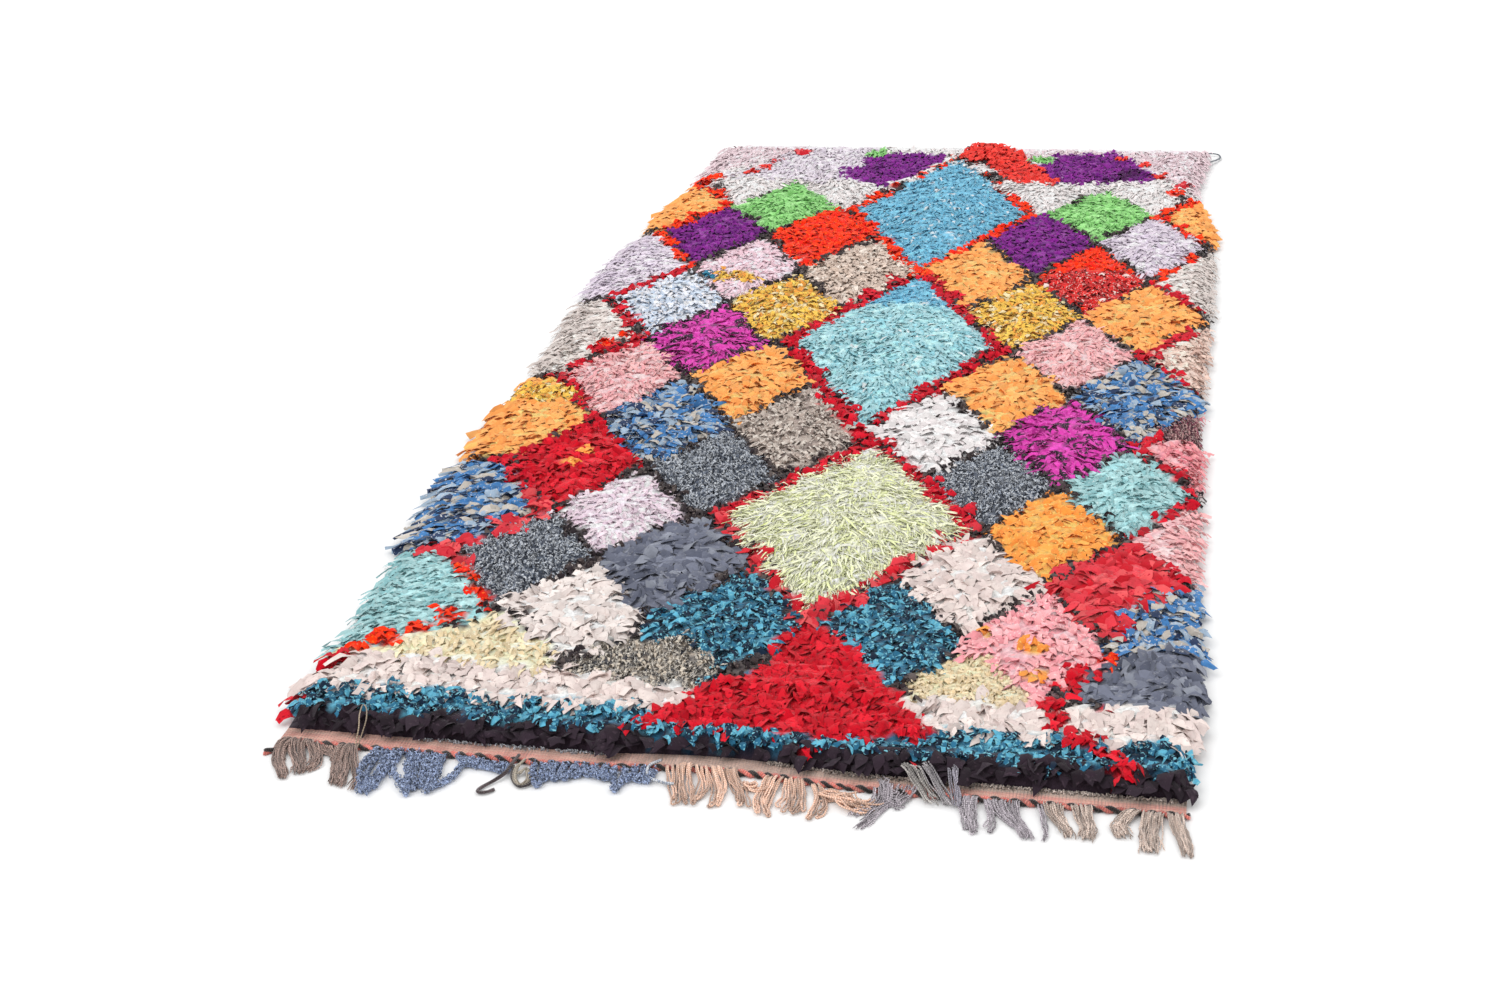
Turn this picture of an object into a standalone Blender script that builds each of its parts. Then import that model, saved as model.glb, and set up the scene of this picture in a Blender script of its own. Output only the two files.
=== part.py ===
"""Boucherouite rug: a flat hand-woven ground, a thick pile of knotted rags and a fringed near end.

Metres, +Z up. The rug lies flat on z = 0 with its length along Y and its fringed end towards -Y.
The origin is the middle of the weave's underside. The near end bows in a little at its middle and
the far end slants, as the loom left them. Places below are counted from the pattern's middle, which
lies PATTERN_SHIFT past the weave's middle.
"""

import math
import random

import bmesh
import bpy

# Driving dimensions of the weave
RUG_WIDTH = 1.15
SIDE_LENGTH = 2.60
PATTERN_SHIFT = 0.0075
NEAR_END = -SIDE_LENGTH / 2 - PATTERN_SHIFT
FAR_END = SIDE_LENGTH / 2 - PATTERN_SHIFT
END_SLANT = 0.034  # how much further along Y the far end lies at its right than at its left
SLANT_REACH = 0.50  # the last stretch of the rug, over which that slant comes in
NEAR_BOW = 0.014  # how far the near end bows in
BOW_HALF_WIDTH = 0.20
BOW_REACH = 0.30  # the first stretch of the rug, over which the bow fades
WEAVE_THICK = 0.003
GAP = 0.0003  # left between pieces that touch
WEAVE_ROWS = 16
WEAVE_COLUMNS = 42

# Driving dimensions of the pile
NEAR_BAND = 0.031  # flat woven band left bare in front of the pile
FAR_BAND = 0.018  # and behind it
PILE_ACROSS = 34  # lumps of the pile's surface across the rug
PILE_ALONG = 76  # and along it
VALLEY_HEIGHT = 0.017  # pile along the diamonds' outlines
MOUND_HEIGHT = 0.013  # how far a diamond's middle stands above its outline
BIG_MOUND_HEIGHT = 0.015
FIELD_HEIGHT = 0.027  # pile of the plain fields at both ends
RIM_HEIGHT = 0.017  # pile at the rug's very edge
RIM_ROLL = 0.040  # how far in from the edge the pile rises to its full height
LUMP_HEIGHT = 0.004
PILE_OVERHANG = 0.006  # pile past the weave's sides before its locks begin
PEAK = (0.07, 1.22, 0.15, 0.019)  # the tall red rags at the far end: x, y, reach, extra height

# Locks at the pile's rim: the side, the least and greatest length, lowest and highest tip
LOCK_SHAPES = {
    "left": (0.020, 0.040, 0.002, 0.010),
    "right": (0.016, 0.034, 0.002, 0.010),
    "near": (0.008, 0.016, 0.008, 0.014),
    "far": (0.010, 0.022, 0.008, 0.018),
}
LOCK_SWAY = 0.006
LOCK_EVERY = {"left": 1, "right": 1, "near": 2, "far": 2}  # pieces of wall to each lock

# The near end's twined cord
TWINE_WIDTH = 0.009
TWINE_HEIGHT = 0.0055
TWINE_WAIST = 0.62  # width between two turns, as a share of the full width
TWINE_PITCH = 0.0115
TWINE_PAST_LEFT = 0.008  # the loose end that sticks out at the left
TWINE_PAST_RIGHT = 0.004
TWINE_DROOP = 0.028  # how far that loose end bends away from the weave
TWINE_DROOP_START = -0.549

# The fringe: warp ends that lie on the floor, fused to a narrow strip beside the cord
STRIP_WIDTH = 0.004
STRIP_HEIGHT = 0.0035
STRAND_ROOT = 0.0056
STRAND_TIP = 0.0026
STRAND_HEIGHT = 0.0042
LEAN_REACH = 0.008  # how far a bundle's tips lean sideways
LEAN_PITCH = 0.105

# Each stretch of fringe: node, left end, right end, strands
FRINGES = (
    ("fringe_brown", -0.545, -0.452, 9),
    ("fringe_blue", -0.446, -0.084, 34),
    ("fringe_tan", -0.078, 0.196, 28),
    ("fringe_lilac", 0.202, 0.396, 19),
    ("fringe_beige", 0.402, 0.566, 17),
)

# How long the strands are along the fringe: x, length
FRINGE_LENGTHS = (
    (-0.545, 0.070),
    (-0.515, 0.076),
    (-0.485, 0.036),
    (-0.455, 0.084),
    (-0.360, 0.090),
    (-0.325, 0.068),
    (-0.295, 0.026),
    (-0.215, 0.042),
    (-0.170, 0.026),
    (-0.115, 0.042),
    (-0.085, 0.030),
    (-0.030, 0.060),
    (0.070, 0.064),
    (0.130, 0.060),
    (0.155, 0.036),
    (0.195, 0.072),
    (0.230, 0.030),
    (0.290, 0.030),
    (0.325, 0.062),
    (0.390, 0.066),
    (0.460, 0.060),
    (0.480, 0.034),
    (0.510, 0.060),
    (0.566, 0.074),
)

# The weave's side lines, hand-woven and so not straight: y, left edge, right edge
SIDE_LINES = (
    (-1.31, -0.573, 0.568),
    (-1.10, -0.566, 0.572),
    (-0.70, -0.576, 0.564),
    (-0.40, -0.592, 0.566),
    (-0.10, -0.586, 0.560),
    (0.35, -0.602, 0.572),
    (0.70, -0.574, 0.568),
    (1.00, -0.542, 0.534),
    (1.31, -0.532, 0.554),
)

# Where each row of diamonds lies, from the near end
ROW_LINES = (-0.97, -0.805, -0.65, -0.49, -0.32, -0.13, 0.05, 0.24, 0.43, 0.64, 0.82)
# How far from the middle line the diamonds of a row lie, in even and in odd rows
EVEN_COLUMNS = (0.335, 0.56)
ODD_COLUMNS = (0.228, 0.447)
INNER_COLUMN = 0.118  # only in the rows between two big diamonds
INNER_ROWS = (0, 4, 8)
SMALL_HALF_WIDTH = 0.108
SMALL_HALF_LENGTH = 0.172
# The three big diamonds on the middle line: x, y, half width, half length
BIG_DIAMONDS = (
    (0.05, -0.64, 0.185, 0.285),
    (0.02, 0.07, 0.185, 0.375),
    (0.01, 0.82, 0.185, 0.365),
)
DIAMONDS_START = -1.06
DIAMONDS_END = 0.98
# Cross ridges of rags along the near end: y, half width, extra height
NEAR_RIDGES = (
    (-1.255, 0.022, 0.006),
    (-1.203, 0.022, 0.005),
    (-1.130, 0.030, 0.004),
)

# The pieces' own colours and how rough they are
COLOURS = {
    "ground_weave": (0.58, 0.27, 0.21, 0.95),
    "rag_pile": (0.62, 0.30, 0.22, 0.90),
    "twined_edge": (0.20, 0.06, 0.05, 0.90),
    "fringe_brown": (0.30, 0.21, 0.19, 0.95),
    "fringe_blue": (0.20, 0.29, 0.49, 0.95),
    "fringe_tan": (0.68, 0.40, 0.24, 0.95),
    "fringe_lilac": (0.35, 0.32, 0.38, 0.95),
    "fringe_beige": (0.60, 0.51, 0.43, 0.95),
}

LUMPS = random.Random(11)
LOCKS = random.Random(23)
STRANDS = random.Random(37)


def ease(share):
    """A smooth step from 0 to 1."""
    share = min(1.0, max(0.0, share))
    return share * share * (3.0 - 2.0 * share)


def side_line(y, column):
    """The x of one side of the weave at y, eased between the rows of SIDE_LINES."""
    for low, high in zip(SIDE_LINES, SIDE_LINES[1:]):
        if y <= high[0] or high is SIDE_LINES[-1]:
            share = ease((y - low[0]) / (high[0] - low[0]))
            return low[column] + share * (high[column] - low[column])


def bent(x, y):
    """The y at x of a weft that crosses the rug at y: bowed by the near end, slanted by the far end."""
    bow = ease(1.0 - abs(x) / BOW_HALF_WIDTH) * ease(1.0 - (y - NEAR_END) / BOW_REACH)
    slant = x / RUG_WIDTH * ease(1.0 - (FAR_END - y) / SLANT_REACH)
    return y + NEAR_BOW * bow + END_SLANT * slant


def finish_object(name, mesh):
    """Makes an object of a bmesh, with its own fabric material."""
    bmesh.ops.recalc_face_normals(mesh, faces=mesh.faces)
    data = bpy.data.meshes.new(name)
    mesh.to_mesh(data)
    mesh.free()
    thing = bpy.data.objects.new(name, data)
    bpy.context.scene.collection.objects.link(thing)
    red, green, blue, roughness = COLOURS[name]
    material = bpy.data.materials.new(name)
    material.use_nodes = True
    shader = material.node_tree.nodes["Principled BSDF"]
    shader.inputs["Base Color"].default_value = (red, green, blue, 1.0)
    shader.inputs["Roughness"].default_value = roughness
    shader.inputs["Metallic"].default_value = 0.0
    data.materials.append(material)
    return thing


def weave_layer(mesh, z):
    """One layer of the weave's points, row by row from its near end."""
    rows = []
    for row in range(WEAVE_ROWS + 1):
        y = NEAR_END + row / WEAVE_ROWS * (FAR_END - NEAR_END)
        left, right = side_line(y, 1), side_line(y, 2)
        line = []
        for column in range(WEAVE_COLUMNS + 1):
            x = left + column / WEAVE_COLUMNS * (right - left)
            line.append(mesh.verts.new((x, bent(x, y), z)))
        rows.append(line)
    return rows


def rim_of(rows):
    """The points round a layer, in order."""
    right = [line[-1] for line in rows[1:-1]]
    left = [line[0] for line in rows[1:-1]]
    return rows[0] + right + rows[-1][::-1] + left[::-1]


def ground_weave():
    """The flat woven ground, one thin sheet with the rug's uneven sides and ends."""
    mesh = bmesh.new()
    layers = [weave_layer(mesh, 0.0), weave_layer(mesh, WEAVE_THICK)]
    for rows in layers:
        for low, high in zip(rows, rows[1:]):
            for column in range(WEAVE_COLUMNS):
                mesh.faces.new((low[column], low[column + 1], high[column + 1], high[column]))
    under, upper = rim_of(layers[0]), rim_of(layers[1])
    for step, corner in enumerate(under):
        other = (step + 1) % len(under)
        mesh.faces.new((corner, under[other], upper[other], upper[step]))
    return finish_object("ground_weave", mesh)


def middle_line(y):
    """The x of the line that the big diamonds stand on, which drifts right towards the near end."""
    return 0.01 + 0.04 * ease((0.3 - y) / 1.3)


def small_diamonds():
    """Yields the middle of every small diamond."""
    for row, y in enumerate(ROW_LINES):
        columns = ODD_COLUMNS if row % 2 else EVEN_COLUMNS
        if row in INNER_ROWS:
            columns = (INNER_COLUMN,) + columns
        for column in columns:
            yield middle_line(y) - column, y
            yield middle_line(y) + column, y


def diamond_rise(x, y, diamond):
    """How far a point is inside a diamond: 1 at its middle, 0 on its outline and outside."""
    middle_x, middle_y, half_width, half_length = diamond
    share = 1.0 - abs(x - middle_x) / half_width - abs(y - middle_y) / half_length
    return max(0.0, share)


SMALL_DIAMONDS = [(x, y, SMALL_HALF_WIDTH, SMALL_HALF_LENGTH) for x, y in small_diamonds()]


def pile_height(x, y, from_edge):
    """Height of the pile's surface: mounds in the diamonds, ridges at the near end, a rounded rim."""
    big = max(diamond_rise(x, y, diamond) for diamond in BIG_DIAMONDS)
    small = max(diamond_rise(x, y, diamond) for diamond in SMALL_DIAMONDS)
    mound = max(BIG_MOUND_HEIGHT * math.sqrt(big), MOUND_HEIGHT * math.sqrt(small))
    height = VALLEY_HEIGHT + mound
    if y < DIAMONDS_START or y > DIAMONDS_END:
        height = max(height, FIELD_HEIGHT)
    for ridge_y, half_width, extra in NEAR_RIDGES:
        height += extra * ease(1.0 - abs(y - bent(x, ridge_y)) / half_width)
    peak_x, peak_y, reach, extra = PEAK
    height += extra * ease(1.0 - math.hypot(x - peak_x, y - peak_y) / reach)
    height += LUMPS.uniform(-LUMP_HEIGHT, LUMP_HEIGHT)
    return RIM_HEIGHT + (height - RIM_HEIGHT) * ease(0.25 + from_edge / RIM_ROLL)


def pile_place(across, along):
    """The x and y of a point of the pile, across and along it from 0 to 1."""
    low = NEAR_END + NEAR_BAND
    high = FAR_END - FAR_BAND
    y = low + along * (high - low)
    left = side_line(y, 1) - PILE_OVERHANG
    right = side_line(y, 2) + PILE_OVERHANG
    x = left + across * (right - left)
    return x, bent(x, y), min(x - left, right - x, y - low, high - y)


def add_lock(mesh, wall, side, outward):
    """Draws one piece of the pile's wall out to a tapered lock that droops to its tip."""
    shortest, longest, lowest, highest = LOCK_SHAPES[side]
    length = LOCKS.uniform(shortest, longest)
    sway = LOCKS.uniform(-LOCK_SWAY, LOCK_SWAY)
    middle_x = sum(vert.co.x for vert in wall) / 4
    middle_y = sum(vert.co.y for vert in wall) / 4
    x = middle_x + outward[0] * length + outward[1] * sway
    y = middle_y + outward[1] * length + outward[0] * sway
    tip = mesh.verts.new((x, y, LOCKS.uniform(lowest, highest)))
    for here, there in zip(wall, wall[1:] + wall[:1]):
        mesh.faces.new((here, there, tip))


def add_walls(mesh, top, base, side, outward):
    """Closes one side of the pile, with locks drawn out of its wall."""
    for step in range(len(top) - 1):
        wall = [top[step], top[step + 1], base[step + 1], base[step]]
        if step % LOCK_EVERY[side] == 0:
            add_lock(mesh, wall, side, outward)
        else:
            mesh.faces.new(wall)


def rag_pile():
    """The pile of rags: one lumpy slab with drooping locks at its rim."""
    mesh = bmesh.new()
    floor = WEAVE_THICK + GAP
    top, base = [], {}
    for row in range(PILE_ALONG + 1):
        line = []
        for column in range(PILE_ACROSS + 1):
            x, y, from_edge = pile_place(column / PILE_ACROSS, row / PILE_ALONG)
            line.append(mesh.verts.new((x, y, pile_height(x, y, from_edge))))
            if row in (0, PILE_ALONG) or column in (0, PILE_ACROSS):
                base[row, column] = mesh.verts.new((x, y, floor))
        top.append(line)
    for low, high in zip(top, top[1:]):
        for column in range(PILE_ACROSS):
            mesh.faces.new((low[column], low[column + 1], high[column + 1], high[column]))

    def base_row(row):
        return [base[row, column] for column in range(PILE_ACROSS + 1)]

    def base_column(column):
        return [base[row, column] for row in range(PILE_ALONG + 1)]

    left, right = base_column(0), base_column(PILE_ACROSS)
    mesh.faces.new(base_row(0) + [right[1], left[1]])
    for row in range(1, PILE_ALONG - 1):
        mesh.faces.new((left[row], right[row], right[row + 1], left[row + 1]))
    mesh.faces.new(base_row(PILE_ALONG) + [right[-2], left[-2]])
    add_walls(mesh, [line[0] for line in top], left, "left", (-1, 0))
    add_walls(mesh, [line[-1] for line in top], right, "right", (1, 0))
    add_walls(mesh, top[0], base_row(0), "near", (0, -1))
    add_walls(mesh, top[-1], base_row(PILE_ALONG), "far", (0, 1))
    return finish_object("rag_pile", mesh)


def twined_edge():
    """The twined cord along the near end, with a bulge for each turn, flat where it lies."""
    mesh = bmesh.new()
    start = side_line(NEAR_END, 1) - TWINE_PAST_LEFT
    end = side_line(NEAR_END, 2) + TWINE_PAST_RIGHT
    turns = round((end - start) / TWINE_PITCH)
    stations = 2 * turns
    sides = 6
    rings = []
    for step in range(stations + 1):
        x = start + (end - start) * step / stations
        full = 1.0 if step % 2 else TWINE_WAIST
        droop = TWINE_DROOP * ease((TWINE_DROOP_START - x) / (TWINE_DROOP_START - start))
        middle_y = bent(x, NEAR_END) - GAP - TWINE_WIDTH / 2 - droop
        ring = []
        for side in range(sides):
            angle = 2 * math.pi * side / sides
            across = math.cos(angle) * TWINE_WIDTH / 2 * full
            rise = (0.5 + 0.5 * math.sin(angle) / math.sin(math.pi / 3)) * TWINE_HEIGHT * full
            ring.append(mesh.verts.new((x, middle_y + across, rise)))
        rings.append(ring)
    for ring, following in zip(rings, rings[1:]):
        for side in range(sides):
            other = (side + 1) % sides
            mesh.faces.new((ring[side], ring[other], following[other], following[side]))
    mesh.faces.new(rings[0])
    mesh.faces.new(rings[-1])
    return finish_object("twined_edge", mesh)


def strand_ring(mesh, x, y, width, height):
    """Four points of a strand's section, flat on the floor."""
    half = width / 2
    return [
        mesh.verts.new((x - half, y, 0.0)),
        mesh.verts.new((x + half, y, 0.0)),
        mesh.verts.new((x + 0.6 * half, y, height)),
        mesh.verts.new((x - 0.6 * half, y, height)),
    ]


def bridge(mesh, ring, following):
    """Joins two four-point rings with four faces."""
    for side in range(4):
        other = (side + 1) % 4
        mesh.faces.new((ring[side], ring[other], following[other], following[side]))


def add_strand(mesh, root, x, y, length):
    """Draws a strand out of the strip's front, leaning with the other strands of its bundle."""
    lean = LEAN_REACH * math.sin(2 * math.pi * x / LEAN_PITCH)
    length *= STRANDS.uniform(0.80, 1.0)
    middle = strand_ring(mesh, x + 0.35 * lean, y - 0.5 * length, STRAND_ROOT * 0.9, STRAND_HEIGHT)
    tip = strand_ring(mesh, x + lean, y - length, STRAND_TIP, 0.6 * STRAND_HEIGHT)
    bridge(mesh, root, middle)
    bridge(mesh, middle, tip)
    mesh.faces.new(tip)


def strand_length(x):
    """How long the strand at x is, from the table of lengths."""
    for low, high in zip(FRINGE_LENGTHS, FRINGE_LENGTHS[1:]):
        if x <= high[0] or high is FRINGE_LENGTHS[-1]:
            return low[1] + (x - low[0]) / (high[0] - low[0]) * (high[1] - low[1])


def fringe(name, start, end, strands):
    """One stretch of the fringe: a narrow strip with its strands fused to its front."""
    mesh = bmesh.new()
    back = TWINE_WIDTH + 2 * GAP
    pitch = (end - start) / strands
    edges = [start]
    for strand in range(strands):
        middle = start + (strand + 0.5) * pitch
        edges += [middle - STRAND_ROOT / 2, middle + STRAND_ROOT / 2]
    edges.append(end)
    sections = []
    for x in edges:
        back_y = bent(x, NEAR_END) - back
        front_y = back_y - STRIP_WIDTH
        sections.append(
            [
                mesh.verts.new((x, front_y, 0.0)),
                mesh.verts.new((x, front_y, STRIP_HEIGHT)),
                mesh.verts.new((x, back_y, STRIP_HEIGHT)),
                mesh.verts.new((x, back_y, 0.0)),
            ]
        )
    for step, (here, there) in enumerate(zip(sections, sections[1:])):
        for side in (1, 2, 3):
            other = (side + 1) % 4
            mesh.faces.new((here[side], here[other], there[other], there[side]))
        if step % 2:
            root = [here[0], there[0], there[1], here[1]]
            x = (here[0].co.x + there[0].co.x) / 2
            add_strand(mesh, root, x, here[0].co.y, strand_length(x))
        else:
            mesh.faces.new((here[0], here[1], there[1], there[0]))
    mesh.faces.new(sections[0])
    mesh.faces.new(sections[-1])
    return finish_object(name, mesh)


def main():
    for thing in list(bpy.data.objects):
        bpy.data.objects.remove(thing, do_unlink=True)
    rug = bpy.data.objects.new("rug", None)
    rug.location = (0.0, PATTERN_SHIFT, 0.0)
    bpy.context.scene.collection.objects.link(rug)
    pieces = [ground_weave(), rag_pile(), twined_edge()]
    pieces += [fringe(*stretch) for stretch in FRINGES]
    for piece in pieces:
        piece.parent = rug


main()
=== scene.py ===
"""Boucherouite rug: a hand-knotted rag rug with a diamond lattice, dressed over its plain solids.

Metres, +Z up. The rug lies flat on z = 0 with its fringed end towards -Y. The file is laid out as a
Blender add-on and is run as a script: one operator for each piece or group of like pieces and one
for the stage, called in order by main. Places below are counted from the pattern's middle, which
lies PATTERN_SHIFT past the weave's middle.
"""

import math

import bpy
import numpy as np
from mathutils import Matrix, Vector


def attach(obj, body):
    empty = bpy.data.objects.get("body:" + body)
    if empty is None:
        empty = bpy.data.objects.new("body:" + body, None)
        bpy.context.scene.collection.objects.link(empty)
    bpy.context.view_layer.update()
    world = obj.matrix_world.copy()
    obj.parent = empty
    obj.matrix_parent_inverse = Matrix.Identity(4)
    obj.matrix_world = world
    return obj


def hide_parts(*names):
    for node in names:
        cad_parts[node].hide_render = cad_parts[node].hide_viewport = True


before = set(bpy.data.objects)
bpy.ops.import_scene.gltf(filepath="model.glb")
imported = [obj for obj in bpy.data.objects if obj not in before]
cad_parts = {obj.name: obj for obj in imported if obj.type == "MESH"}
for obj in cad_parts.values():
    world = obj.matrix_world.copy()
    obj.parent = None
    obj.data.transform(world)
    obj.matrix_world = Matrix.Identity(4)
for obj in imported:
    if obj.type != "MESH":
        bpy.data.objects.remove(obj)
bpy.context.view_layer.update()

bl_info = {
    "name": "Boucherouite Rug",
    "version": (1, 0, 0),
    "blender": (4, 5, 0),
    "location": "View3D > Sidebar > Rug",
    "description": "Knots a shaggy rag rug with a diamond lattice, a twined cord and a warp fringe",
    "category": "Add Mesh",
}

BODY = "root"
TURN = 2.0 * math.pi
TINY = 1e-9  # keeps a length from being divided by nothing

# The weave, as its solid has it
RUG_WIDTH = 1.15
SIDE_LENGTH = 2.60
PATTERN_SHIFT = 0.0075
NEAR_END = -SIDE_LENGTH / 2 - PATTERN_SHIFT
FAR_END = SIDE_LENGTH / 2 - PATTERN_SHIFT
WEAVE_THICK = 0.003
END_SLANT = 0.034
SLANT_REACH = 0.50
NEAR_BOW = 0.014
BOW_HALF_WIDTH = 0.20
BOW_REACH = 0.30
# The weave's side lines: y, left edge, right edge
SIDE_LINES = (
    (-1.31, -0.573, 0.568),
    (-1.10, -0.566, 0.572),
    (-0.70, -0.576, 0.564),
    (-0.40, -0.592, 0.566),
    (-0.10, -0.586, 0.560),
    (0.35, -0.602, 0.572),
    (0.70, -0.574, 0.568),
    (1.00, -0.542, 0.534),
    (1.31, -0.532, 0.554),
)

# The pile's heights
NEAR_BAND = 0.026
FAR_BAND = 0.012
VALLEY_HEIGHT = 0.017
MOUND_HEIGHT = 0.013
BIG_MOUND_HEIGHT = 0.015
FIELD_HEIGHT = 0.027
RIM_HEIGHT = 0.014
RIM_ROLL = 0.040
PEAK = (0.07, 1.22, 0.15, 0.019)  # the tall red rags at the far end: x, y, reach, extra height
# Cross ridges of rags along the near end: y, half width, extra height
NEAR_RIDGES = (
    (-1.255, 0.022, 0.006),
    (-1.203, 0.022, 0.005),
    (-1.130, 0.030, 0.004),
)

# The lattice: the rows of small diamonds from the near end, and the cloths of each row.
# A row's cloths run from the left edge inwards, then from the middle line to the right edge.
LATTICE = (
    (-0.970, "aqua cream petrol", "petrol rose blue_print"),
    (-0.805, "slate_melange slate", "blush coral"),
    (-0.650, "blue_print pale_blush", "amber salmon"),
    (-0.490, "red slate_melange", "slate_melange aqua"),
    (-0.320, "apricot blue_print taupe", "white magenta rosy"),
    (-0.130, "salmon apricot", "apricot blue_print"),
    (0.050, "greige magenta", "salmon sand"),
    (0.240, "ice floral", "floral apricot"),
    (0.430, "lilac pale_pink sand_print", "apricot vermilion greige"),
    (0.640, "purple vermilion", "purple lilac"),
    (0.820, "apricot green", "green apricot"),
    (0.990, "chalk chalk", "chalk chalk"),
)
EDGE_COLUMN = 0.56
EVEN_COLUMNS = (EDGE_COLUMN, 0.335, 0.118)
ODD_COLUMNS = (0.447, 0.228)
SMALL_HALF_WIDTH = 0.113
ROUNDNESS = 1.18  # 1 gives sharp diamonds, 2 ovals
# The big diamonds on the middle line: cloth, x, y, half width, half length
BIG_DIAMONDS = (
    ("lime", 0.05, -0.640, 0.185, 0.285),
    ("lagoon", 0.02, 0.070, 0.185, 0.375),
    ("sky", 0.01, 0.820, 0.185, 0.365),
)
RING_START = 0.96  # the share of a big diamond that its own cloth fills
RING_WIDTH = 0.135  # the rag outline round a big diamond, as a share of its half width
SEAM_WIDTH = 0.165  # and between small ones
DIAMONDS_START = -1.06
DIAMONDS_END = 0.98
SMALL_EDGE = 0.94  # the share of a small diamond that its own cloth fills
CORNER_REACH = 0.26
CORNER_GAP = 0.20
ROOM_REACH = 0.40  # how far from a seam its rags are shorter, in a small diamond
BIG_ROOM_REACH = 0.25  # and in a big one
# Wandering fields: those that bend the outlines give amount, size and seed, the others size and seed
WANDER_X = (0.006, 0.055, 3)
WANDER_Y = (0.008, 0.060, 4)
CLUMPS = (0.045, 5)
WIDE_CLUMPS = (0.16, 6)
# Where the seams change: the far rows with few dark knots, and the rows and side of each warm cloth
SPARSE_FROM = 0.78
VERMILION_FROM = 0.42
LEFT_PART = -0.3
CORAL_ROWS = (-0.84, -0.60)
ZIGZAG_HALF_WIDTH = 0.55
# How the clumps choose the knots of a seam: dark above the first three, warm below the fourth
DARK_FROM = -0.55
DARK_FROM_SPARSE = 0.75
DARK_CORNER_FROM = -0.9
ZIGZAG_BELOW = 0.45
# The lean of the rags: how much less along the rug, at its sides (out, along), and in the fields
LEAN_ALONG = 0.62
SIDE_LEAN = (1.1, -0.45)
FIELD_LEAN = (0.0, -0.6)

# Patches and fields that lie over the lattice, in order: cloth, then corners x, y
PATCHES = (
    ("sky", ((-0.07, 0.27), (0.13, 0.24), (0.02, 0.47))),
    ("floral", ((-0.68, -0.27), (-0.53, -0.27), (-0.47, -0.23), (-0.51, -0.18), (-0.68, -0.16))),
    ("plum", ((0.50, -0.31), (0.68, -0.31), (0.68, -0.17), (0.53, -0.18), (0.49, -0.24))),
    ("floral", ((-0.375, 0.40), (-0.30, 0.40), (-0.30, 0.365), (-0.375, 0.36))),
    ("red_check", ((0.26, 0.47), (0.45, 0.47), (0.44, 0.40), (0.36, 0.25), (0.27, 0.38))),
    ("dusty_pink", ((-0.68, 0.99), (-0.53, 1.01), (-0.36, 1.20), (-0.34, 1.40), (-0.68, 1.40))),
    ("pale_lilac", (
        (-0.52, 1.01), (-0.22, 0.99), (-0.16, 1.40), (-0.34, 1.40), (-0.36, 1.22), (-0.46, 1.05),
    )),
    ("chalk", ((-0.17, 1.19), (0.02, 1.19), (0.02, 1.40), (-0.17, 1.40))),
    ("purple", (
        (-0.235, 1.01), (-0.24, 1.10), (-0.20, 1.10), (-0.21, 1.18),
        (-0.13, 1.215), (-0.02, 1.205), (-0.02, 1.17), (-0.10, 1.02), (-0.15, 0.98),
    )),
    ("dusty_pink", (
        (0.14, 1.20), (0.36, 1.22), (0.40, 1.17), (0.46, 1.06), (0.50, 1.03), (0.53, 0.98),
        (0.68, 0.97), (0.68, 1.40), (0.14, 1.40),
    )),
    ("purple", (
        (0.21, 1.22), (0.36, 1.25), (0.40, 1.17), (0.455, 1.06), (0.40, 1.025), (0.24, 1.01),
        (0.23, 1.08), (0.19, 1.13),
    )),
    ("deep_purple", ((0.34, 1.03), (0.44, 1.07), (0.40, 1.14), (0.35, 1.07))),
    ("tomato", (
        (0.0, 1.20), (0.03, 1.25), (0.055, 1.32), (0.09, 1.32), (0.13, 1.25), (0.17, 1.19),
        (0.19, 1.13), (0.23, 1.08), (0.24, 0.99), (0.20, 1.02), (0.13, 1.02), (0.08, 1.13), (0.02, 1.17),
    )),
    ("straw", (
        (-0.385, -0.965), (-0.43, -1.015), (-0.50, -1.075), (-0.57, -1.13), (-0.25, -1.145),
        (-0.28, -1.08),
    )),
    ("charcoal", (
        (-0.385, -0.962), (-0.366, -0.958), (-0.262, -1.078), (-0.234, -1.135), (-0.252, -1.135),
        (-0.282, -1.078),
    )),
    ("stone_melange", ((-0.25, -1.14), (-0.22, -1.03), (-0.10, -1.01), (-0.04, -1.10), (-0.07, -1.15))),
    ("popcorn", ((0.27, -0.99), (0.20, -1.10), (0.23, -1.145), (0.38, -1.14), (0.32, -1.03))),
    ("slate", (
        (0.41, -1.075), (0.435, -1.02), (0.47, -0.98), (0.55, -0.965), (0.68, -0.99), (0.68, -1.115),
        (0.5, -1.125), (0.42, -1.10),
    )),
    ("blush", (
        (-0.68, -1.165), (-0.50, -1.115), (-0.25, -1.13), (-0.06, -1.14), (-0.06, -1.21), (-0.68, -1.21),
    )),
    ("blush", ((0.18, -1.135), (0.40, -1.13), (0.52, -1.11), (0.68, -1.115), (0.68, -1.21), (0.18, -1.21))),
    ("blue_print", (
        (0.66, -0.765), (0.53, -0.78), (0.475, -0.86), (0.455, -0.95), (0.47, -0.98), (0.55, -0.965),
        (0.66, -0.985),
    )),
    ("petrol", ((-0.70, -1.195), (0.0, -1.200), (0.70, -1.192), (0.70, -1.29), (-0.70, -1.29))),
    ("red", (
        (0.055, -0.92), (0.02, -1.0), (0.0, -1.1), (-0.07, -1.15), (-0.12, -1.235),
        (0.26, -1.225), (0.20, -1.12), (0.13, -1.01),
    )),
    ("aubergine", ((-0.70, -1.258), (0.0, -1.258), (0.70, -1.254), (0.70, -1.40), (-0.70, -1.40))),
)
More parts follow.
